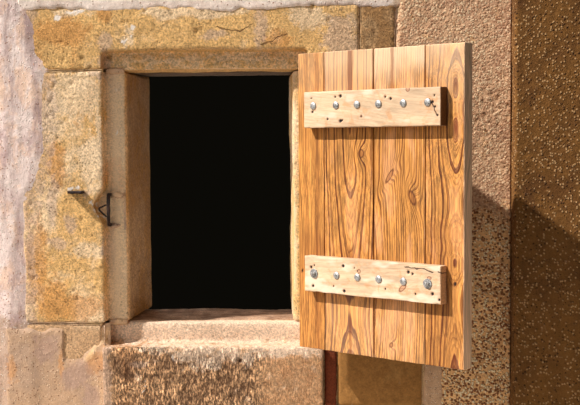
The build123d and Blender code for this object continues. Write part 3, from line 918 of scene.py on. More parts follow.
def stone_numbers(mesh, bare):
    """A number from 0 to 1 for each stone, carried along the edges that cross no joint."""
    edges = read_edges(mesh)
    edges = edges[bare[edges].all(axis=1)]
    label = np.arange(len(bare))
    for _ in range(number_rounds):
        lowest = label[edges].min(axis=1)
        np.minimum.at(label, edges[:, 0], lowest)
        np.minimum.at(label, edges[:, 1], lowest)
        label = label[label]
    return np.where(bare, hashed(np.stack((label, label, label), axis=1), 5), 0.5)


def tooling(points):
    """Upright strokes of the point chisel on the sill's front, weaker above and towards the right."""
    fine = np.abs(lumps(points, (0.0075, 0.03, 0.020), sill_seed))
    strokes = fine + 0.5 * np.abs(lumps(points, (0.013, 0.03, 0.034), sill_seed + 1))
    strength = 1 - 0.85 * smooth(points[:, 0], 0.12, 0.20)
    strength *= 1 - 0.7 * smooth(points[:, 2], 0.315, 0.350)
    dents = (rough(points, 0.020, 3, sill_seed + 3) + 0.5).clip(0)
    return strength * (0.0026 * (1 - strokes).clip(0) + 0.0020 * dents)


def edge_at(points, pairs):
    """Where a ragged edge given as (x, z) pairs, from the foot up, lies at each point's height."""
    edge = np.interp(points[:, 2], [z for _, z in pairs], [x for x, _ in pairs])
    return edge + 0.008 * rough(points, 0.05, 3, 61)


# Edges of the skins as x and z: the plaster's over the stones, and the roughcast's left one
plaster_laps = (
    (-0.535, 0.02), (-0.530, 0.292), (-0.546, 0.48), (-0.547, 0.65), (-0.540, 0.75), (-0.498, 0.86),
    (-0.478, 0.94), (-0.474, 1.178), (-0.508, 1.230), (-0.528, 1.37), (-0.540, 1.46),
)
roughcast_edge = ((0.692, 0.02), (0.692, 0.38), (0.646, 0.58), (0.580, 1.058), (0.568, 1.238), (0.574, 1.46))

# Marks on the stones' fronts, in mm: x, z, half width and half height of soft patches
mark_kinds = ("washed", "rusty", "lilac", "limed", "soot", "tooled")
stone_marks = {
    "lintel": {
        "limed": (
            (-444, 1338, 16, 7), (-398, 1355, 24, 9), (-372, 1348, 16, 6), (-214, 1300, 3, 16),
            (-226, 1276, 3, 12), (-240, 1262, 3, 6),
        ),
        "washed": (
            (-226, 1280, 20, 40), (-130, 1211, 120, 10), (90, 1213, 160, 9), (-398, 1352, 60, 16),
            (20, 1350, 120, 20), (-100, 1345, 100, 18), (300, 1330, 60, 40),
        ),
        "lilac": (
            (158, 1300, 22, 70), (-298, 1262, 24, 36), (-531, 1344, 30, 40), (400, 1270, 60, 70),
            (20, 1280, 50, 16), (-305, 1205, 16, 30),
        ),
        "rusty": ((-440, 1290, 100, 50), (-300, 1351, 30, 26), (210, 1262, 50, 30)),
        "soot": ((-294, 1215, 6, 5),),
    },
    "left_jamb": {
        "washed": (
            (-394, 1110, 90, 80), (-320, 960, 12, 190), (-350, 640, 70, 22), (-345, 900, 36, 100),
            (-283, 1020, 8, 150), (-288, 560, 6, 120),
        ),
        "lilac": (
            (-325, 1168, 36, 11), (-415, 725, 22, 30), (-455, 665, 26, 22), (-362, 814, 16, 14),
            (-470, 790, 20, 80), (-280, 1140, 20, 40), (-300, 650, 14, 90),
        ),
        "rusty": (
            (-520, 600, 40, 150), (-470, 490, 50, 80), (-410, 470, 120, 45), (-455, 900, 30, 80),
            (-290, 870, 30, 60),
        ),
        "limed": (
            (-276, 1107, 3, 16), (-282, 985, 3, 12), (-410, 827.5, 12, 6), (-385, 829, 11, 6),
            (-341.5, 778.5, 5, 8), (-330, 762, 6, 6), (-316, 749, 7, 6),
        ),
    },
    "sill": {
        "limed": ((-109, 322, 3, 14), (-193, 235, 1, 26)),
        "washed": ((230, 345, 90, 22),),
        "lilac": ((-205, 300, 30, 10),),
    },
}

# The lintel's cracks, and the holes in the sill's front with their radius
lintel_cracks = (
    ((0.033, 0, 1.303), (0.101, 0, 1.288)),
    ((0.101, 0, 1.288), (0.140, 0, 1.310)),
    ((0.166, 0, 1.249), (0.240, 0, 1.283)),
)
sill_holes = ((-0.192, 0.362), (-0.060, 0.358), (0.095, 0.312))
sill_hole_radius = 0.009


def dress_stone(name, voxel, material, slot, seed, rounding, swell, shape=None, rubble=False):
    """A worn copy of one stone: corners rounded, faces sunk by swells and pits. Shape adds its own depth."""
    stone = bpy.context.scene.dovecote_stone
    mesh = voxel_mesh(name, voxel)
    sharp = read_points(mesh)
    soft = relaxed(mesh, rounding)
    wear = 0.9 + 0.7 * rough(sharp, 0.07, 2, seed)
    points = sharp + (soft - sharp) * np.clip(wear, 0.15, 1.6)[:, None]
    write_points(mesh, points)
    normals = read_vectors(mesh.vertex_normals, "vector")
    worn = np.einsum("ij,ij->i", sharp - points, normals) / full_wear
    depth = swell * np.clip(rough(points, swell_size, 3, seed) + 0.7, 0, None)
    distance, number = spots(points, pit_spacing, seed)
    pits = (number > 0.7) * smooth(0.5 - distance, 0.0, 0.35) * (0.4 + number)
    depth += stone.pit_depth * pits * smooth(lumps(points, 0.09, seed + 4), -0.2, 0.5)
    depth += grain_depth * np.abs(rough(points, grain_size, 2, seed + 8))
    marks = {kind: blots(points, stone_marks.get(name, {}).get(kind, ())) for kind in mark_kinds}
    if shape is not None:
        depth = shape(points, normals, depth, marks)
        worn = np.maximum(worn, marks.pop("worn", 0.0))
    joint = np.zeros(len(points))
    tint = np.full(len(points), 0.5)
    if rubble:
        joint, bare = raked_joints(sharp)
        tint = stone_numbers(mesh, bare)
        depth = depth + joint * joint_relief * rough(points, 0.02, 2, seed + 9)
    write_points(mesh, points - normals * depth[:, None])
    # The sunk mark paints shade into the stone's colour where its face lies deepest.
    write_marks(mesh, sunk=depth / full_depth, worn=worn, joint=joint, tint=tint, **marks)
    mesh.shade_smooth()
    place_piece("worn_" + name, mesh, "wall", material, slot, name)


def add_mark(marks, kind, amount):
    """Makes a mark at least as strong as the amount."""
    marks[kind] = np.maximum(marks[kind], amount)


def lintel_shape(points, normals, depth, marks):
    """The lintel's seat swells out between two soft edges, and is painted pale as light on a seat that lies
    in shade.
    """
    seat = (normals[:, 1] < -0.5) & (points[:, 1] > wall_front + 0.03) & (points[:, 1] < -0.1)
    up = (points[:, 2] - head) / 0.055
    swelling = 0.0055 * np.sin(np.clip(up, 0, 1) * math.pi) ** 0.7
    # Painted light: the pale wash on the seat stands for light on a seat that lies in shade.
    add_mark(marks, "washed", 0.55 * seat)
    return np.where(seat, depth * 0.6 - swelling + 0.002, depth)


def jamb_shape(points, normals, depth, marks):
    """A smooth seat for the shutter, painted pale with a painted highlight along its crest as light on a seat
    in shade, and painted shade on the reveal behind it.
    """
    seat = smooth(-normals[:, 1], 0.5, 0.9) * smooth(points[:, 1], wall_front + 0.025, wall_front + 0.04)
    reveal = smooth(normals[:, 0], 0.5, 0.9) * smooth(points[:, 1], -0.118, -0.09)
    crest = smooth(0.012 - np.abs(points[:, 0] + 0.282 + 0.004 * rough(points, 0.06, 2, 221)), 0.0, 0.010)
    # Painted light: the seat lies in shade, and its pale wash stands for light on it; the pale crest is a
    # painted highlight.
    add_mark(marks, "washed", seat * (0.8 + 0.2 * crest))
    marks["worn"] = seat * (0.55 + 0.3 * crest)
    # Painted shade on the reveal: darker deeper in the opening and higher up, lighter low down where the sill
    # would throw light.
    add_mark(marks, "soot", reveal * (0.62 - 0.25 * smooth(points[:, 2], 1.0, 0.5)))
    lime_edge = smooth(edge_at(points, plaster_laps) + 0.03 - points[:, 0], -0.015, 0.02)
    # Painted shade: the lilac on seat and reveal is the grey-mauve of stone in shade; at the plaster's edge
    # it is lime.
    for amount in (0.3 * seat, 0.55 * reveal, 0.7 * lime_edge * (points[:, 1] < wall_front + 0.02)):
        add_mark(marks, "lilac", amount)
    return depth * (1 - 0.6 * np.maximum(seat, reveal))


def sill_shape(points, normals, depth, marks):
    """A pale worn nose over a brown front stroked by the point chisel, with painted shade in its chisel
    hollows and holes; dirt on the inner part of its top.
    """
    x, y, z = points.T
    front = smooth(-normals[:, 1], 0.4, 0.8) * (y < wall_front)
    upper = smooth(normals[:, 2], 0.5, 0.8)
    ragged = rough(points, 0.05, 3, sill_seed + 11)
    below = front * smooth(0.336 + 0.014 * ragged - z, -0.016, 0.020)
    strokes = tooling(points)
    plain = 0.55 * smooth(x, 0.12, 0.20) + 0.7 * smooth(-x, 0.285, 0.31) * smooth(z, 0.27, 0.31)
    patchy = 0.10 + 0.34 * rough(points, 0.07, 3, sill_seed + 14)
    patchy += 0.22 * smooth(-x, 0.06, 0.20) * smooth(z, 0.22, 0.29)
    # Painted shade: the front darkens where the chisel hollows are deepest.
    hollow_shade = 0.45 * smooth(strokes, 0.0012, 0.0036)
    left_end = front * smooth(-x + 0.006 * ragged, 0.272, 0.312)
    marks["soot"] = below * (patchy + hollow_shade).clip(0, 1) * (1 - plain.clip(0, 1)) * (1 - 0.85 * left_end)
    inner = upper * (z > sill_top - 0.012) * smooth(y, -0.098, -0.06)
    dirt = (0.4 + 0.4 * rough(points, 0.03, 3, sill_seed + 12)).clip(0, 0.75)
    add_mark(marks, "soot", inner * dirt)
    add_mark(marks, "lilac", np.maximum(inner * 0.8, left_end))
    # Painted shade in the old holes of the front, which are also sunk into it.
    for hole_x, hole_z in sill_holes:
        hole = front * smooth(1 - np.hypot(x - hole_x, z - hole_z) / sill_hole_radius, 0.0, 0.6)
        add_mark(marks, "soot", hole)
        strokes = strokes + 0.004 * hole
    marks["rusty"] = 0.5 * front * smooth(x, 0.08, 0.18) * smooth(0.335 - z, 0.0, 0.02)
    reach = 0.352 - 0.060 * smooth(x, -0.19, -0.06) * (1 - 0.6 * smooth(x, 0.10, 0.17))
    nose = 0.72 * smooth(z + 0.020 * ragged, reach - 0.030, reach + 0.022) + 0.28 * smooth(z, 0.366, 0.378)
    add_mark(marks, "washed", nose * (1 - inner))
    marks["tooled"] = front * (1 - 0.8 * smooth(x, 0.12, 0.2)) * (1 - 0.65 * smooth(z, reach, reach + 0.04))
    marks["tooled"] *= 1 - 0.9 * left_end
    return depth * (1 - front) + front * strokes * (1 - 0.7 * left_end)


# The stones of the surround: node, voxel against the setting, look, slot, seed, rounding, swell and shape
surround_stones = (
    ("lintel", 1.0, "ochre_lintel", "ochre_stone", 3, 4, 0.0035, lintel_shape),
    ("left_jamb", 1.0, "ochre_jamb", "ochre_stone", 5, 3, 0.003, jamb_shape),
    ("right_jamb", 1.5, "ochre_jamb", "ochre_stone", 7, 3, 0.003, None),
    ("left_jamb_lower", 1.15, "ochre_low", "ochre_stone", 9, 2, 0.003, None),
    ("left_corner_block", 1.15, "ochre_low", "ochre_stone", 13, 2, 0.003, None),
    ("lintel_end_stone", 1.0, "brown_stone", "brown_stone", 15, 2, 0.003, None),
    ("sill", 0.9, "sill_stone", "sill_stone", sill_seed, 3, 0.003, sill_shape),
    ("right_corner_block", 1.25, "beige_stone", "beige_stone", 19, 2, 0.001, None),
    ("upright_slip", 1.0, "red_brick", "red_brick", 21, 2, 0.0015, None),
)

# The rubble's voxels: finer where the ends of the bay show their joints
coarse_voxel = 0.0085
finer_voxel = 0.0075


class DressSurround(bpy.types.Operator):
    """Wears and colours the stones that frame the opening"""

    bl_idname = "dovecote.surround"
    bl_label = "Stone surround"

    def execute(self, context):
        stone = context.scene.dovecote_stone
        golden = (stone.ochre, stone.pale, colour(204, 132, 58), colour(110, 76, 44))
        low = (colour(204, 164, 124), stone.pale, colour(190, 142, 100), colour(110, 76, 44))
        brown = colours((170, 128, 82), (200, 166, 124), (128, 86, 50), (76, 52, 34))
        sill = colours((208, 162, 120), (254, 226, 200), (184, 124, 76), (104, 66, 40))
        beige = colours((148, 104, 54), (164, 124, 74), (130, 86, 42), (104, 70, 36))
        brick = colours((120, 56, 30), (150, 84, 50), (92, 44, 26), (50, 26, 18))
        sill_amounts = {"Pale Share": 0.35, "Stain Share": 0.5, "Blotch": 12.0, "Grain": 0.9, "Pits": 0.5}
        looks = {
            "ochre_lintel": (golden, {"Pale Share": 0.45}, 0.005, lintel_cracks),
            "ochre_jamb": (golden, {"Pale Share": 0.65, "Pits": 1.2}),
            "ochre_low": (low, {"Pale Share": 0.5, "Pits": 0.4}),
            "brown_stone": (brown, {}),
            "sill_stone": (sill, sill_amounts, 0.006),
            "beige_stone": (beige, {"Pits": 0.3, "Grain": 0.4}, 0.0015),
            "red_brick": (brick, {}, 0.003),
        }
        made = {name: stone_material(name, *look) for name, look in looks.items()}
        for name, share, look, slot, *rest in surround_stones:
            dress_stone(name, stone.voxel * share, made[look], slot, *rest)
        return {"FINISHED"}


class DressMasonry(bpy.types.Operator):
    """Wears and colours the rubble of the bay, its pier and its base course"""

    bl_idname = "dovecote.masonry"
    bl_label = "Rubble masonry"

    def execute(self, context):
        rubble = rubble_material()
        names = ("base_left", "base_middle", "base_right", "wall_left", "wall_right", "wall_above")
        for seed, name in enumerate(names, start=30):
            voxel = finer_voxel if name == "wall_left" else coarse_voxel
            dress_stone(name, voxel, rubble, "rubble", seed, 2, 0.002, rubble=True)
        dress_stone("pier", finer_voxel, pier_material(), "roughcast", 40, 2, 0.002, rubble=True)
        return {"FINISHED"}


# Lime
def skin(low, high, step, height, sunk_by=0.016):
    """Points and faces of a closed sheet on the wall's front; height says how far it stands out."""
    across, up = np.broadcast_to(step, 2)
    columns = np.linspace(low[0], high[0], max(3, round((high[0] - low[0]) / across) + 1))
    rows = np.linspace(low[1], high[1], max(3, round((high[1] - low[1]) / up) + 1))
    x, z = np.meshgrid(columns, rows, indexing="ij")
    flat = np.stack((x.ravel(), np.full(x.size, wall_front), z.ravel()), axis=1)
    flat[:, 1] -= height(flat)
    index = np.arange(x.size).reshape(x.shape)
    rim = np.concatenate((index[:-1, 0], index[-1, :-1], index[:0:-1, -1], index[0, :0:-1]))
    behind = flat[rim].copy()
    behind[:, 1] = wall_front + sunk_by
    back_index = len(flat) + np.arange(len(rim))
    faces = [tuple(quad) for quad in grid_faces(index)]
    for place in range(len(rim)):
        after = (place + 1) % len(rim)
        faces.append((rim[after], rim[place], back_index[place], back_index[after]))
    faces.append(tuple(back_index[::-1]))
    return np.concatenate((flat, behind)), faces


def plaster_height(points):
    """Smooth plaster with trowel ridges, thinning to nothing over the stones along its ragged edge."""
    inside = edge_at(points, plaster_laps) - points[:, 0]
    body = 0.0034 + 0.0023 * rough(points, (0.035, 0.05, 0.3), 3, 62) + 0.0006 * lumps(points, 0.012, 63)
    feather = smooth(inside, -0.01, 0.05)
    body = body.clip(0.0016, 0.0062) * (0.6 + 0.4 * smooth(inside, 0.02, 0.12))
    return body * feather - 0.006 * (1 - feather) - 0.012 * smooth(-inside, 0.0, 0.02)


def roughcast_height(points):
    """Roughcast: pebbles thrown into lime, smoother near the shutter and thin at its left edge."""
    inside = points[:, 0] - edge_at(points, roughcast_edge)
    worn = smooth(lumps(points, 0.12, 71), -0.5, 0.2) * smooth(points[:, 2], 0.62, 0.8)
    distance, number = spots(points, 0.011, 73)
    pebbles = smooth(0.62 - distance, 0.0, 0.5) * (0.4 + 0.6 * number)
    body = 0.0045 + 0.0012 * rough(points, 0.08, 2, 72) + 0.0032 * pebbles * (1 - 0.8 * worn)
    return np.minimum(body, 0.008) - 0.016 * smooth(-inside, -0.004, 0.012)


def band_height(points):
    """Trowelled mortar with a wavy edge."""
    low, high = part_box("mortar_band")
    wave = 0.006 * rough(points, 0.05, 2, 81)
    inside = np.minimum(points[:, 0] - low.x - 0.004 + wave, high.z - points[:, 2])
    body = 0.0028 + 0.0008 * rough(points, 0.04, 3, 82)
    return np.minimum(body, 0.003) - 0.014 * smooth(-inside, -0.004, 0.008)


def head_mortar_height(points):
    """Pinkish mortar that laps down over the lintel's upper edge."""
    wave = lintel_top - 0.008 + 0.012 * rough(points, 0.06, 4, 91)
    feather = smooth(points[:, 2] - wave, -0.020, 0.030)
    body = (0.0018 + 0.0009 * rough(points, 0.06, 3, 92)) * feather - 0.003 * (1 - feather)
    return body - 0.012 * smooth(wave - points[:, 2], 0.0, 0.014)


def wedge_at(points):
    """How far each point lies in the wedge of mortar that leans on the sill's left end."""
    x, z = points[:, 0], points[:, 2]
    off = (z - 0.380 + 1.13 * (-0.314 - x)) / 1.5
    wave = 0.006 * rough(points, 0.03, 3, 94)
    return smooth(0.020 - np.abs(off - wave), 0.0, 0.018) * smooth(x, -0.40, -0.35)


def smear_height(points):
    """Mortar smeared over the lower left stones, thin in places and cut back at the squared block."""
    x, z = points[:, 0], points[:, 2]
    edge = np.minimum(-0.318 + 0.018 * smooth(0.372 - z, 0.0, 0.02) - x, 0.408 - z)
    edge = np.minimum(edge, x + 0.62)
    bare = smooth(x, -0.442, -0.437) * smooth(z + 0.8 * (-0.39 - x).clip(-0.05, 0), 0.29, 0.34)
    body = 0.0012 + 0.0046 * smooth(-x, 0.50, 0.545) + 0.0010 * rough(points, 0.07, 3, 95)
    body = body.clip(0.0002, 0.0064) - 0.0075 * bare + 0.0020 * wedge_at(points)
    for cut_x, cut_z in ((-0.436, 0.348), (-0.338, 0.371)):
        body -= 0.006 * smooth(0.009 - np.hypot(x - cut_x, 0.4 * (z - cut_z)), 0.0, 0.006)
    return body - 0.014 * smooth(-edge + 0.014 * rough(points, 0.06, 3, 96), -0.010, 0.016)


def pointing_height(low, high, sunk):
    """Mortar sunk a little behind the stones' faces, with a narrow groove drawn along it."""
    upright = high[1] - low[1] > high[0] - low[0]
    across = 0 if upright else 1
    middle = (low[across] + high[across]) / 2
    half = (high[across] - low[across]) / 2

    def height(points):
        off = np.abs(points[:, 2 * across] - middle - 0.0015 * rough(points, 0.04, 2, 98))
        groove = 0.0050 * smooth(0.0030 - off, 0.0, 0.0022)
        body = 0.0014 * rough(points, 0.03, 2, 97) - sunk
        return np.minimum(body, 0.0) - groove - 0.010 * smooth(off / half, 0.55, 1.0)

    return height


def bed_height(level):
    """Mortar squeezed out of a joint, its edges ragged."""

    def height(points):
        off = np.abs(points[:, 2] - level) + 0.003 * rough(points, 0.02, 3, 99)
        return 0.0016 + 0.0008 * rough(points, 0.015, 2, 100) - 0.010 * smooth(off, 0.005, 0.010)

    return height


# Lumps of mortar round the ends of the latch staple, in mm: x, z, half width and half height
staple_lumps = ((-276, 806, 20, 9), (-290, 712, 13, 6))


def lump_height(points):
    """Lumps of mortar round the ends of the latch staple, low enough for the shutter to close over."""
    ragged = 0.5 * rough(points, 0.012, 3, 101)
    body = np.full(len(points), -0.006)
    for lump in staple_lumps:
        x, z, wide, high = mm(*lump)
        off = np.hypot((points[:, 0] - x) / wide, (points[:, 2] - z) / high) + ragged
        body = np.maximum(body, 0.0048 * smooth(1.25 - off, 0.0, 0.8) - 0.006 * smooth(off, 0.9, 1.3))
    return body


def joint_lines():
    """Strips, as low corner, high corner and how deep they lie, along every joint of the front."""
    half, sunk, sunk_beside_slip = 0.006, 0.0030, 0.0090
    strips = []
    boxes = {name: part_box(name) for name in frame["nodes"]}
    lintel, lower, jamb = boxes["lintel"], boxes["left_jamb_lower"], boxes["right_jamb"]
    corner, sill = boxes["left_corner_block"], boxes["sill"]
    slip, block = boxes["upright_slip"], boxes["right_corner_block"]
    level = (
        (lintel[0].x, left_arris, head),
        (right_arris, jamb[1].x, head),
        (bay_left, pier_left, lintel_top),
        (jamb_outer, lower[1].x, sill_top),
        (jamb_outer, corner[1].x, corner[1].z),
        (bay_left, pier_left, sill[0].z),
        (slip[0].x, block[1].x, block[1].z),
    )
    upright = (
        (jamb_outer, corner[0].z, lintel_top),
        (slip[0].x, slip[0].z, slip[1].z),
        (slip[1].x, slip[0].z, slip[1].z),
        (block[1].x, block[0].z, block[1].z),
        (lintel[1].x, head, lintel_top),
        (jamb[1].x, block[1].z, lintel_top),
    )
    for x_low, x_high, z in level:
        strips.append(((x_low, z - half), (x_high, z + half), sunk))
    for x, z_low, z_high in upright:
        beside_slip = slip[0].x - 0.001 < x < slip[1].x + 0.001
        strips.append(((x - half, z_low), (x + half, z_high), sunk_beside_slip if beside_slip else sunk))
    return strips


# Looks of the lime skins: coat, dirt, light and dark grit, then amounts and relief. The coats of
# plaster and roughcast are settings.
lime_looks = {
    "plaster": (
        ((196, 168, 164), (244, 232, 220), (196, 150, 126)),
        {
            "Warm": colour(246, 206, 176),
            "Warm Share": 0.75,
            "Grit Share": 0.16,
            "Grit Scale": 190.0,
            "Streaks": 0.8,
        },
        0.003,
    ),
    "roughcast": (
        ((186, 130, 82), (255, 234, 194), (132, 72, 42)),
        {"Grit Share": 0.8, "Grit Scale": 150.0, "Grit Size": 0.72, "Streaks": 0.2},
        0.006,
    ),
    "head_mortar": (
        ((252, 234, 222), (232, 202, 184), (250, 240, 228), (180, 134, 108)),
        {"Grit Share": 0.12, "Grit Scale": 170.0, "Streaks": 0.2},
        0.003,
    ),
    "mortar": (
        ((196, 160, 128), (164, 124, 90), (228, 204, 178), (100, 70, 48)),
        {"Grit Share": 0.25, "Grit Scale": 200.0, "Streaks": 0.25},
        0.003,
    ),
    "smeared_mortar": (
        ((208, 172, 138), (176, 150, 136), (226, 196, 166), (136, 98, 68)),
        {"Grit Share": 0.2, "Grit Scale": 190.0, "Streaks": 0.25},
        0.003,
    ),
    "joint_mortar": (
        ((206, 172, 130), (164, 126, 88), (232, 206, 170), (110, 76, 46)),
        {"Grit Share": 0.3, "Grit Scale": 220.0, "Streaks": 0.1},
        0.003,
    ),
}

# Stains on the skins, in mm: x, z, half width and half height
ochre_stains = ((-600, 285, 22, 40), (-448, 300, 8, 50), (-350, 300, 30, 50))
violet_stains = ((-495, 345, 45, 40), (-400, 262, 50, 50), (-360, 200, 30, 30))

# Grids of the narrow strips of pointing, and of the mortar on the seat, which lies behind the front
pointing_grid = (0.0016, 0.005)
seat_grid = 0.002
seat_behind = (0, 0.040, 0)


class LayLime(bpy.types.Operator):
    """Lays plaster, roughcast, pointing and smeared mortar on the stones"""

    bl_idname = "dovecote.lime"
    bl_label = "Lime skins"

    def execute(self, context):
        lime = context.scene.dovecote_lime
        coats = {"plaster": [lime.plaster], "roughcast": [lime.roughcast]}
        looks = {}
        for name, (tints, amounts, relief) in lime_looks.items():
            looks[name] = lime_material(name, coats.get(name, []) + colours(*tints), amounts, relief)
        plaster, cast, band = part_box("plaster_left"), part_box("roughcast_right"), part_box("mortar_band")
        band_low = (band[0].x - 0.01, band[0].z)
        band_high = (band[1].x + 0.004, band[1].z + 0.012)
        sheets = (
            ("plaster_coat", plaster_height, (bay_left, plaster[0].z), (-0.44, plaster[1].z)),
            ("roughcast_coat", roughcast_height, (0.55, cast[0].z), (pier_left, cast[1].z)),
            ("mortar_coat", band_height, band_low, band_high),
            ("head_mortar", head_mortar_height, (-0.56, lintel_top - 0.035), (0.60, bay_top - 0.002)),
            ("smeared_mortar", smear_height, (-0.66, 0.006), (-0.300, 0.42)),
        )
        replaced = {
            "plaster_coat": ("plaster", "plaster_left"),
            "roughcast_coat": ("roughcast", "roughcast_right"),
            "mortar_coat": ("mortar", "mortar_band"),
        }
        for name, height, low, high in sheets:
            look, *nodes = replaced.get(name, (name,))
            slot = look if look in coats else "mortar"
            self.lay(name, skin(low, high, lime.step, height), looks[look], slot, *nodes)
        strips = []
        for low, high, sunk in joint_lines():
            grid = pointing_grid if high[1] - low[1] > high[0] - low[0] else pointing_grid[::-1]
            strips.append(skin(low, high, grid, pointing_height(low, high, sunk)))
        self.lay("pointing", joined(strips), looks["joint_mortar"], "mortar")
        beds = []
        for z in (sill_top, head):
            beds.append(skin((left_arris + 0.003, z - 0.011), (-0.2535, z + 0.011), seat_grid, bed_height(z)))
        beds.append(skin((-0.301, 0.700), (-0.254, 0.822), seat_grid, lump_height))
        points, faces = joined(beds)
        self.lay("seat_mortar", (points + seat_behind, faces), looks["smeared_mortar"], "mortar")
        return {"FINISHED"}

    def lay(self, name, sheet, material, slot, *nodes):
        """Makes one skin, with its stains by place on the wall."""
        points, faces = sheet
        mesh = make_mesh(name, points, faces)
        damp = smooth(-points[:, 2], -0.52, -0.36) * smooth(-points[:, 0], 0.3, 0.4)
        violet = blots(points, violet_stains)
        violet = np.maximum(violet, smooth(points[:, 2], 0.60, 0.85) * (points[:, 0] > 0.55) * 0.9)
        pale = np.maximum(wedge_at(points), blots(points, staple_lumps[:1]))
        write_marks(mesh, damp=damp, ochre=blots(points, ochre_stains), violet=violet, pale=pale)
        place_piece(name, mesh, "wall", material, slot, *nodes)


# Wood
def make_plank(low, high, steps, grain, radius, seed, holes=(), ragged=0.0):
    """A sawn plank between two corners in places of its own; grain is the axis its fibres run along.

    Holes are in mm: across, up and radius.
    """
    places, faces = box_grid([cuts(low[axis], high[axis], steps[axis], radius * 1.4) for axis in range(3)])
    wear = radius * (0.65 + 0.55 * rough(places, 0.05, 3, seed)).clip(0.2, 1.3)
    rounded = round_off(places, low, high, wear)
    worn = np.linalg.norm(places - rounded, axis=1) / (0.35 * radius)
    size = np.full(3, 0.014)
    size[grain] = 0.22
    from_edge = np.minimum(places - low, high - places)
    depth = 0.0005 * (lumps(places, size, seed + 2) + 1)
    if ragged:
        depth += ragged * smooth(rough(places, 0.02, 2, seed + 3), 0.2, 0.9)
    outwards = np.sign(places - (low + high) / 2) * (from_edge < 1e-6)
    hole = np.zeros(len(places))
    on_face = np.abs(places[:, 2] - high[2]) < 1e-6
    for row in holes:
        across, up, hole_radius = mm(*row)
        near = np.hypot(rounded[:, 0] - across, rounded[:, 1] - up) / hole_radius
        hole = np.maximum(hole, smooth(1.5 - near, 0.0, 0.9) * on_face)
    depth += 0.0035 * hole
    return rounded - outwards * depth[:, None], faces, worn, hole


def far_end(places, high):
    """1 on the end face away from the hinge, fading out over its arris."""
    return smooth(places[:, 0], high[0] - 0.0028, high[0] - 0.0018)


def grain_places(places, high, across, length):
    """A plank's places as its material reads them: across the grain, into it and along it."""
    inwards = high[2] - places[:, 2]
    return {"grain_across": places[:, across], "grain_inwards": inwards, "grain_along": places[:, length]}


foot_edge = np.array((shutter_box("board_1")[0][0], shutter_box("board_1")[0][1], 0.0))
board_top = shutter_box("board_1")[1][1] - foot_edge[1]
free_edge = shutter_box("board_4")[1][0] - foot_edge[0]

# Each board's heart: its place across, and in mm its depth under the face at heights from the foot.
# A knot is across, along and radius in mm, then how stretched and how leaning. A streak of heart
# wood is its place across, its width, its two ends and how strong it is.
board_recipes = (
    {
        "heart": -0.060,
        "fade": 0.25,
        "spacing": 0.0052,
        "contrast": 0.7,
        "depths": ((0, 62), (300, 48), (600, 66), (849, 54)),
        "streaks": (
            (0.070, 0.012, -0.1, 1.0, 0.35),
            (0.030, 0.010, 0.2, 1.0, 0.2),
            (0.050, 0.080, -0.1, 0.36, 0.2),
        ),
    },
    {
        "heart": 0.188,
        "fade": 0.7,
        "spacing": 0.0098,
        "contrast": 1.0,
        "pinkish": 0.35,
        "pale": 0.15,
        "depths": (
            (0, 46), (40, 51), (95, 57), (220, 50), (348, 39), (437, 29), (495, 19), (600, 11), (700, 7),
            (849, 6),
        ),
        "knots": ((226, 563, 9.2, 1.25, 0.0),),
        "streaks": ((0.189, 0.015, 0.66, 1.2, 0.65), (0.187, 0.007, -0.1, 0.14, 0.5)),
    },
    {
        "heart": 0.238,
        "spacing": 0.0070,
        "pinkish": 0.5,
        "pale": 0.1,
        "depths": ((0, 60), (250, 44), (500, 58), (849, 40)),
        "knots": ((396, 445, 10.0, 1.9, -0.35), (322, 502, 7.0, 2.6, 0.6), (327, 41, 5.5, 1.2, 0.2)),
        "streaks": ((0.331, 0.008, 0.69, 1.2, 0.55),),
    },
    {
        "heart": 0.531,
        "fade": 0.7,
        "spacing": 0.0094,
        "contrast": 1.0,
        "pinkish": 0.35,
        "depths": (
            (0, 24), (60, 29), (110, 35), (200, 38), (282, 28), (315, 33), (352, 29), (420, 38), (487, 33),
            (528, 24), (578, 14), (622, 3), (680, 12), (733, 4), (800, 21), (849, 27),
        ),
        "streaks": (
            (0.530, 0.009, 0.700, 0.790, 0.6),
            (0.532, 0.008, 0.58, 0.68, 0.9),
            (0.480, 0.110, -0.1, 0.42, 0.2),
        ),
    },
)
board_holes = (((12, 222, 3),), (), (), ((530, 222, 4), (532, 699, 3)))

# Battens: knots as above, cracks as two places in mm along the shutter and up from its foot
batten_recipes = {
    "upper": {
        "heart": 0.60,
        "drift": 0.10,
        "stained": 0.5,
        "spacing": 0.0088,
        "contrast": 0.12,
        "strands": 0.35,
        # Painted shade: the upper end grain is dark for its shade as well as its weathering.
        "end": colour(112, 74, 42),
        "cracks": (((468, 706), (482, 690)), ((482, 690), (494, 663))),
        "depths": ((0, 46), (200, 40), (400, 58), (558, 50)),
        "knots": ((718, 329, 3.0, 1.0, 0.0), (733, 402, 6.0, 1.0, 0.0), (665, 249, 3.5, 1.0, 0.0)),
    },
    "lower": {
        "heart": 0.13,
        "drift": -0.05,
        "stained": 0.5,
        "spacing": 0.0100,
        "contrast": 0.15,
        "strands": 0.4,
        # Painted light: the lower end grain is pale to stand for light on an end that lies in shade.
        "end": colour(206, 162, 122),
        "cracks": (((394, 265), (482, 255)), ((498, 256), (530, 252))),
        "depths": ((0, 40), (220, 52), (400, 44), (558, 60)),
        "knots": ((205, 385, 7.5, 1.5, 0.6), (240, 240, 5.5, 1.0, 0.0), (238, 470, 4.0, 1.6, 0.0)),
    },
}

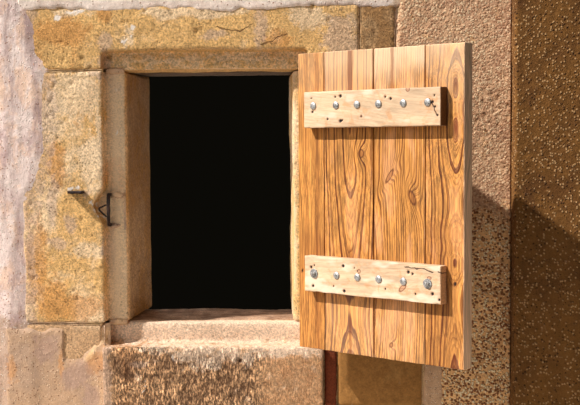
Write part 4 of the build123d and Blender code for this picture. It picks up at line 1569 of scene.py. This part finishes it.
# Old nail holes of the battens, in mm: along the shutter, up from its foot, and radius
batten_holes = {
    "upper": (
        (73, 719, 2.2), (159, 720, 2.4), (177, 722, 4.4), (329, 715, 2.6), (346, 710, 3.6), (77, 680, 3.2),
        (131, 659, 3.0), (176, 653, 4.2), (183, 655, 2.6), (249, 665, 2.2), (485, 715, 2.6), (479, 698, 3.6),
        (487, 685, 2.8), (494, 663, 2.6),
    ),
    "lower": (
        (70, 240, 3.6), (82, 246, 2.2), (185, 251, 4.0), (224, 248, 2.4), (234, 240, 2.2), (403, 249, 4.2),
        (416, 245, 3.2), (77, 187, 3.8), (150, 192, 2.2), (188, 181, 4.2), (328, 198, 2.8), (426, 192, 2.6),
        (479, 197, 4.0), (501, 183, 3.4),
    ),
}
timber_recipe = {
    "heart": 1.27,
    "spacing": 0.006,
    "contrast": 0.8,
    "depths": ((0, 60), (560, 50), (1120, 70)),
    "low": jamb_outer,
    "high": -jamb_outer,
    "knots": ((1250, -310, 13, 1.3, 0.0), (1300, 220, 10, 1.3, 0.0)),
}


# How deep the battens' faces have torn in sawing
batten_ragged = 0.0008


class SawBoards(bpy.types.Operator):
    """Makes the shutter's pine boards with their grain and knots"""

    bl_idname = "dovecote.boards"
    bl_label = "Boards"

    def execute(self, context):
        wood = context.scene.dovecote_wood
        # The fifth tint is the weathered grey, made pale enough to be painted light too: on the free edge,
        # which lies in shade, and as highlights on the worn arrises.
        tints = (wood.board_light, wood.board_dark, *colours((238, 206, 172), (112, 50, 20), (230, 188, 152)))
        for number, (recipe, holes) in enumerate(zip(board_recipes, board_holes), start=1):
            node = f"board_{number}"
            recipe = {**plain_wood, **recipe, "low": 0.0, "high": board_top}
            low, high = (corner - foot_edge for corner in shutter_box(node))
            steps = (0.0035, 0.010, 0.010)
            places, faces, worn, hole = make_plank(low, high, steps, 1, wood.arris, 100 + number, holes)
            mesh = make_mesh(node + "_sawn", to_frame(places + foot_edge), faces)
            ends = 0.05 * rough(places, 0.08, 3, 140 + number)
            faded = recipe["fade"] * smooth(places[:, 1] + ends, 0.66, 0.84)
            faded += recipe["pale"] * smooth(0.24 - places[:, 1] + ends, 0.0, 0.12)
            # Painted light on the free edge, along with its weathering.
            if high[0] > free_edge - 0.001:
                worn = np.maximum(worn, 0.9 * far_end(places, high))
            write_marks(mesh, worn=worn, hole=hole, faded=faded, **grain_places(places, high, 0, 1))
            material = wood_material(f"pine_{node}", recipe, *tints, 0.0014)
            place_piece(node + "_sawn", mesh, "shutter", material, "pine", node)
        return {"FINISHED"}


class SawBattens(bpy.types.Operator):
    """Makes the two battens with their old nail holes"""

    bl_idname = "dovecote.battens"
    bl_label = "Battens"

    def execute(self, context):
        wood = context.scene.dovecote_wood
        tints = colours((172, 112, 68), (228, 204, 182), (150, 74, 34), (190, 156, 126))
        for seed, (row, recipe) in enumerate(batten_recipes.items(), start=110):
            node = f"batten_{row}"
            low, high = (corner - foot_edge for corner in shutter_box(node))
            steps = (0.0035, 0.003, 0.006)
            radius = wood.arris * 1.3
            holes = batten_holes[row]
            places, faces, worn, hole = make_plank(low, high, steps, 0, radius, seed, holes, batten_ragged)
            cracks = []
            for ends in recipe["cracks"]:
                cracks.append([to_frame(foot_edge + (*mm(*end), high[2])) * (1, 0, 1) for end in ends])
            recipe = {**recipe, "low": 0.0, "high": board_top, "cracks": cracks}
            mesh = make_mesh(node + "_sawn", to_frame(places + foot_edge), faces)
            faded = smooth(rough(places, (0.06, 0.02, 0.03), 3, 150 + seed), 0.1, 0.7)
            marks = {"worn": worn * 0.4, "hole": hole, "faded": faded, "end_grain": far_end(places, high)}
            write_marks(mesh, **marks, **grain_places(places, high, 1, 0))
            material = wood_material(f"pine_{node}", recipe, wood.batten_light, *tints, 0.0012)
            place_piece(node + "_sawn", mesh, "shutter", material, "batten_pine", node)
        return {"FINISHED"}


class HewTimbers(bpy.types.Operator):
    """Makes the two old timber lintels behind the stone one"""

    bl_idname = "dovecote.timbers"
    bl_label = "Timber lintels"

    def execute(self, context):
        tints = colours((112, 86, 60), (60, 42, 28), (140, 120, 100), (70, 44, 28), (122, 106, 88))
        material = wood_material("old_timber", timber_recipe, *tints, 0.003)
        for seed, name in enumerate(("timber_lintel_outer", "timber_lintel_inner"), start=120):
            low, high = (np.array(corner)[[0, 2, 1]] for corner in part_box(name))
            steps = (0.012, 0.008, 0.008)
            places, faces, worn, hole = make_plank(low, high, steps, 0, 0.007, seed, ragged=0.002)
            mesh = make_mesh(name + "_hewn", places[:, [0, 2, 1]], [face[::-1] for face in faces])
            marks = {"worn": worn * 0.5, "hole": hole, "faded": np.zeros(len(places))}
            write_marks(mesh, **marks, **grain_places(places, high, 1, 0))
            place_piece(name + "_hewn", mesh, "wall", material, "old_timber", name)
        return {"FINISHED"}


# Iron
bolt_places = mm(81, 162, 235, 307, 388, 465)
inside_nuts = {"upper": (), "lower": (0, 5)}
strap_thickness = 0.006

# Profiles of washer, nut and bolt end, in mm: radius and height
washer_profile = ((11.5, -1), (13.5, -1), (13.5, 1.2), (12.8, 2), (11.5, 2))
nut_profile = ((7, 0), (7.5, 0.4), (7.5, 5.8), (6.8, 6.5))
bolt_end_profile = ((4, 0), (4, 8), (3.4, 8.8))
washer_lift = 0.002

# Domed head: its radius, the height of its rim and the rise of its dome
head_radius, head_rim, head_rise = mm(10.3, 1.2, 3.4)


def lifted(profile, lift):
    """A profile in mm as metres, raised."""
    return [(radius, height + lift) for radius, height in (mm(*pair) for pair in profile)]


def bolt_parts(centre, face, outwards, nut, washer):
    """One bolt end on a face: a domed head, or a nut and bolt end. Outwards is 1 or -1."""
    shapes = []
    lift = washer_lift if washer else 0.0
    if washer:
        shapes.append(lathe(lifted(washer_profile, 0.0), 28))
    if nut:
        shapes.append(lathe(lifted(nut_profile, lift), 6, 0.3))
        shapes.append(lathe(lifted(bolt_end_profile, lift), 20))
    else:
        turns = np.linspace(0, math.pi / 2, 7)[:-1]
        dome = [(head_radius * math.cos(turn), head_rim + head_rise * math.sin(turn)) for turn in turns]
        profile = [(0.0098, -0.001), (head_radius, -0.0004), *dome, (0.0015, head_rim + head_rise)]
        shapes.append(lathe(profile, 28))
    points, faces = joined(shapes)
    if outwards < 0:
        faces = [tuple(reversed(corners)) for corners in faces]
    return points * (1, 1, outwards) + (*centre, face), faces


class FitBolts(bpy.types.Operator):
    """Makes the bolts' domed heads, washers and nuts"""

    bl_idname = "dovecote.bolts"
    bl_label = "Bolts"

    def execute(self, context):
        zinc = zinc_material()
        strap_face = shutter_box("board_1")[0][2] - strap_thickness
        for row in ("upper", "lower"):
            batten_face = shutter_box(f"batten_{row}")[1][2]
            strap = shutter_box(f"strap_{row}")
            level = (strap[0][1] + strap[1][1]) / 2
            parts = []
            for number, place in enumerate(bolt_places):
                centre = (foot_edge[0] + place, level)
                nut_inside = number in inside_nuts[row]
                parts.append(bolt_parts(centre, batten_face, 1, nut_inside, nut_inside))
                parts.append(bolt_parts(centre, strap_face, -1, not nut_inside, False))
            points, faces = joined(parts)
            mesh = make_mesh(f"bolts_{row}_turned", to_frame(points), faces)
            mesh.set_sharp_from_angle(angle=math.radians(40))
            place_piece(f"bolts_{row}_turned", mesh, "shutter", zinc, "zinc_steel", f"bolts_{row}")
        return {"FINISHED"}


def forge(name, voxel, rounding, dent, scale, material, seed):
    """A hammered, rusted copy of an iron node, thickened by its scale of rust."""
    mesh = voxel_mesh(name, voxel)
    write_points(mesh, relaxed(mesh, rounding))
    sink(mesh, dent * (rough(read_points(mesh), 0.012, 3, seed) + 0.5).clip(0) - scale)
    mesh.shade_smooth()
    place_piece("forged_" + name, mesh, "wall", material, "wrought_iron", name)


class ForgeIron(bpy.types.Operator):
    """Rusts the staple, keeper and stub, and finishes straps and pintles"""

    bl_idname = "dovecote.iron"
    bl_label = "Ironwork"

    def execute(self, context):
        rusty = iron_material("wrought_iron", *colours((30, 23, 21), (54, 30, 22), (140, 74, 38)), 0.3)
        black = iron_material("strap_iron", *colours((44, 42, 42), (58, 50, 46), (110, 66, 42)), 0.15)
        forge("latch_staple", 0.0012, 2, 0.0012, 0.0008, rusty, 131)
        forge("latch_keeper", 0.0008, 1, 0.0005, 0.0003, rusty, 132)
        forge("iron_stub", 0.0012, 2, 0.0012, 0.0006, rusty, 133)
        for part, material in (("pintle", rusty), ("strap", black)):
            for row in ("upper", "lower"):
                node = frame["nodes"][f"{part}_{row}"]
                node.data.materials.clear()
                node.data.materials.append(material)
        return {"FINISHED"}


# Stage
sun_direction = (0.656, 0.263, -0.708)
camera_place = (0.4179, -3.5351, 0.9641)
camera_turns = (86.937, 0.336, 2.907)
camera_lens = 70.68

# Soft lights: name, place, what they point at, size, share of the fill's power, and tint
soft_lights = (
    ("front_fill", (-2.6, -4.4, 2.8), (0.1, 0, 0.8), 3.5, 1.0, (1.0, 0.95, 0.9)),
    ("top_fill", (0.2, -0.8, 4.6), (0.2, 0, 0.7), 3.0, 0.25, (0.95, 0.97, 1.0)),
    ("back_fill", (-2.8, 4.4, 2.8), (0.2, 0.1, 0.7), 3.5, 1.1, (1.0, 0.96, 0.92)),
    ("right_fill", (4.6, 0.6, 2.6), (0.8, 0, 0.7), 3.0, 0.2, (1.0, 0.96, 0.92)),
)


def put_in_scene(name, data):
    thing = bpy.data.objects.new(name, data)
    bpy.context.scene.collection.objects.link(thing)
    return thing


def facing(direction):
    """The turn that points a light or camera that way."""
    return Vector(direction).to_track_quat("-Z", "Y").to_euler()


class SetStage(bpy.types.Operator):
    """Sets the pale floor, the lights and the camera"""

    bl_idname = "dovecote.stage"
    bl_label = "Stage"

    def execute(self, context):
        stage = context.scene.dovecote_stage
        self.floor(stage.floor_radius)
        self.lights(stage)
        self.camera(context.scene)
        context.scene.view_settings.view_transform = "Standard"
        return {"FINISHED"}

    def floor(self, radius):
        turns = np.linspace(0, 2 * math.pi, 97)[:-1]
        middle = (bay_left + bay_right) / 2
        ring = np.stack((middle + radius * np.cos(turns), radius * np.sin(turns), 0 * turns), axis=1)
        mesh = bpy.data.meshes.new("floor")
        mesh.from_pydata(ring.tolist(), [], [tuple(range(len(ring)))])
        material, nodes, shader = new_material("pale_floor")
        shown = nodes.mix(nodes.noise(nodes.place(), 3, 4), colour(196, 188, 178), colour(206, 199, 190))
        nodes.feed(shader.inputs["Base Color"], shown)
        nodes.feed(shader.inputs["Roughness"], 0.85)
        mesh.materials.append(material)
        floor = put_in_scene("floor", mesh)

    def lights(self, stage):
        sun = bpy.data.lights.new("key", "SUN")
        sun.energy = stage.sun
        sun.angle = math.radians(1.2)
        sun.color = (1.0, 0.96, 0.90)
        put_in_scene("key", sun).rotation_euler = facing(sun_direction)
        for name, place, target, size, share, tint in soft_lights:
            light = bpy.data.lights.new(name, "AREA")
            light.size = size
            light.energy = stage.fill * share
            light.color = tint
            lamp = put_in_scene(name, light)
            lamp.location = place
            lamp.rotation_euler = facing(Vector(target) - Vector(place))
            lamp.visible_camera = False
        world = bpy.data.worlds.new("studio")
        world.use_nodes = True
        world.node_tree.nodes["Background"].inputs["Color"].default_value = (0.0034, 0.0030, 0.0020, 1)
        bpy.context.scene.world = world

    def camera(self, scene):
        data = bpy.data.cameras.new("camera")
        data.sensor_width = 36.0
        data.lens = camera_lens
        camera = put_in_scene("camera", data)
        camera.location = camera_place
        camera.rotation_euler = Euler([math.radians(turn) for turn in camera_turns])
        scene.camera = camera


class DovecotePanel(bpy.types.Panel):
    """Buttons for every piece of the dovecote window"""

    bl_idname = "VIEW3D_PT_dovecote"
    bl_label = "Dovecote window"
    bl_space_type = "VIEW_3D"
    bl_region_type = "UI"
    bl_category = "Dovecote"

    def draw(self, context):
        for operator in operators:
            self.layout.operator(operator.bl_idname)
        for settings in setting_groups:
            owner = getattr(context.scene, settings)
            box = self.layout.box()
            for name in owner.bl_rna.properties.keys():
                if name not in {"rna_type", "name"}:
                    box.prop(owner, name)


setting_groups = {
    "dovecote_stone": StoneSettings,
    "dovecote_lime": LimeSettings,
    "dovecote_wood": WoodSettings,
    "dovecote_stage": StageSettings,
}
operators = (
    SetStage,
    DressSurround,
    DressMasonry,
    LayLime,
    HewTimbers,
    SawBoards,
    SawBattens,
    FitBolts,
    ForgeIron,
)
group_makers = (
    make_stone_group,
    make_crack_group,
    make_lime_group,
    make_ring_group,
    make_knot_group,
    make_rust_group,
)


def register():
    for settings in setting_groups.values():
        bpy.utils.register_class(settings)
    for name, settings in setting_groups.items():
        setattr(bpy.types.Scene, name, bpy.props.PointerProperty(type=settings))
    for operator in operators:
        bpy.utils.register_class(operator)
    bpy.utils.register_class(DovecotePanel)


def unregister():
    bpy.utils.unregister_class(DovecotePanel)
    for operator in reversed(operators):
        bpy.utils.unregister_class(operator)
    for name, settings in setting_groups.items():
        delattr(bpy.types.Scene, name)
        bpy.utils.unregister_class(settings)


def main():
    register()
    for make_group in group_makers:
        make_group()
    for operator in operators:
        family, name = operator.bl_idname.split(".")
        getattr(getattr(bpy.ops, family), name)()


if __name__ == "__main__":
    main()
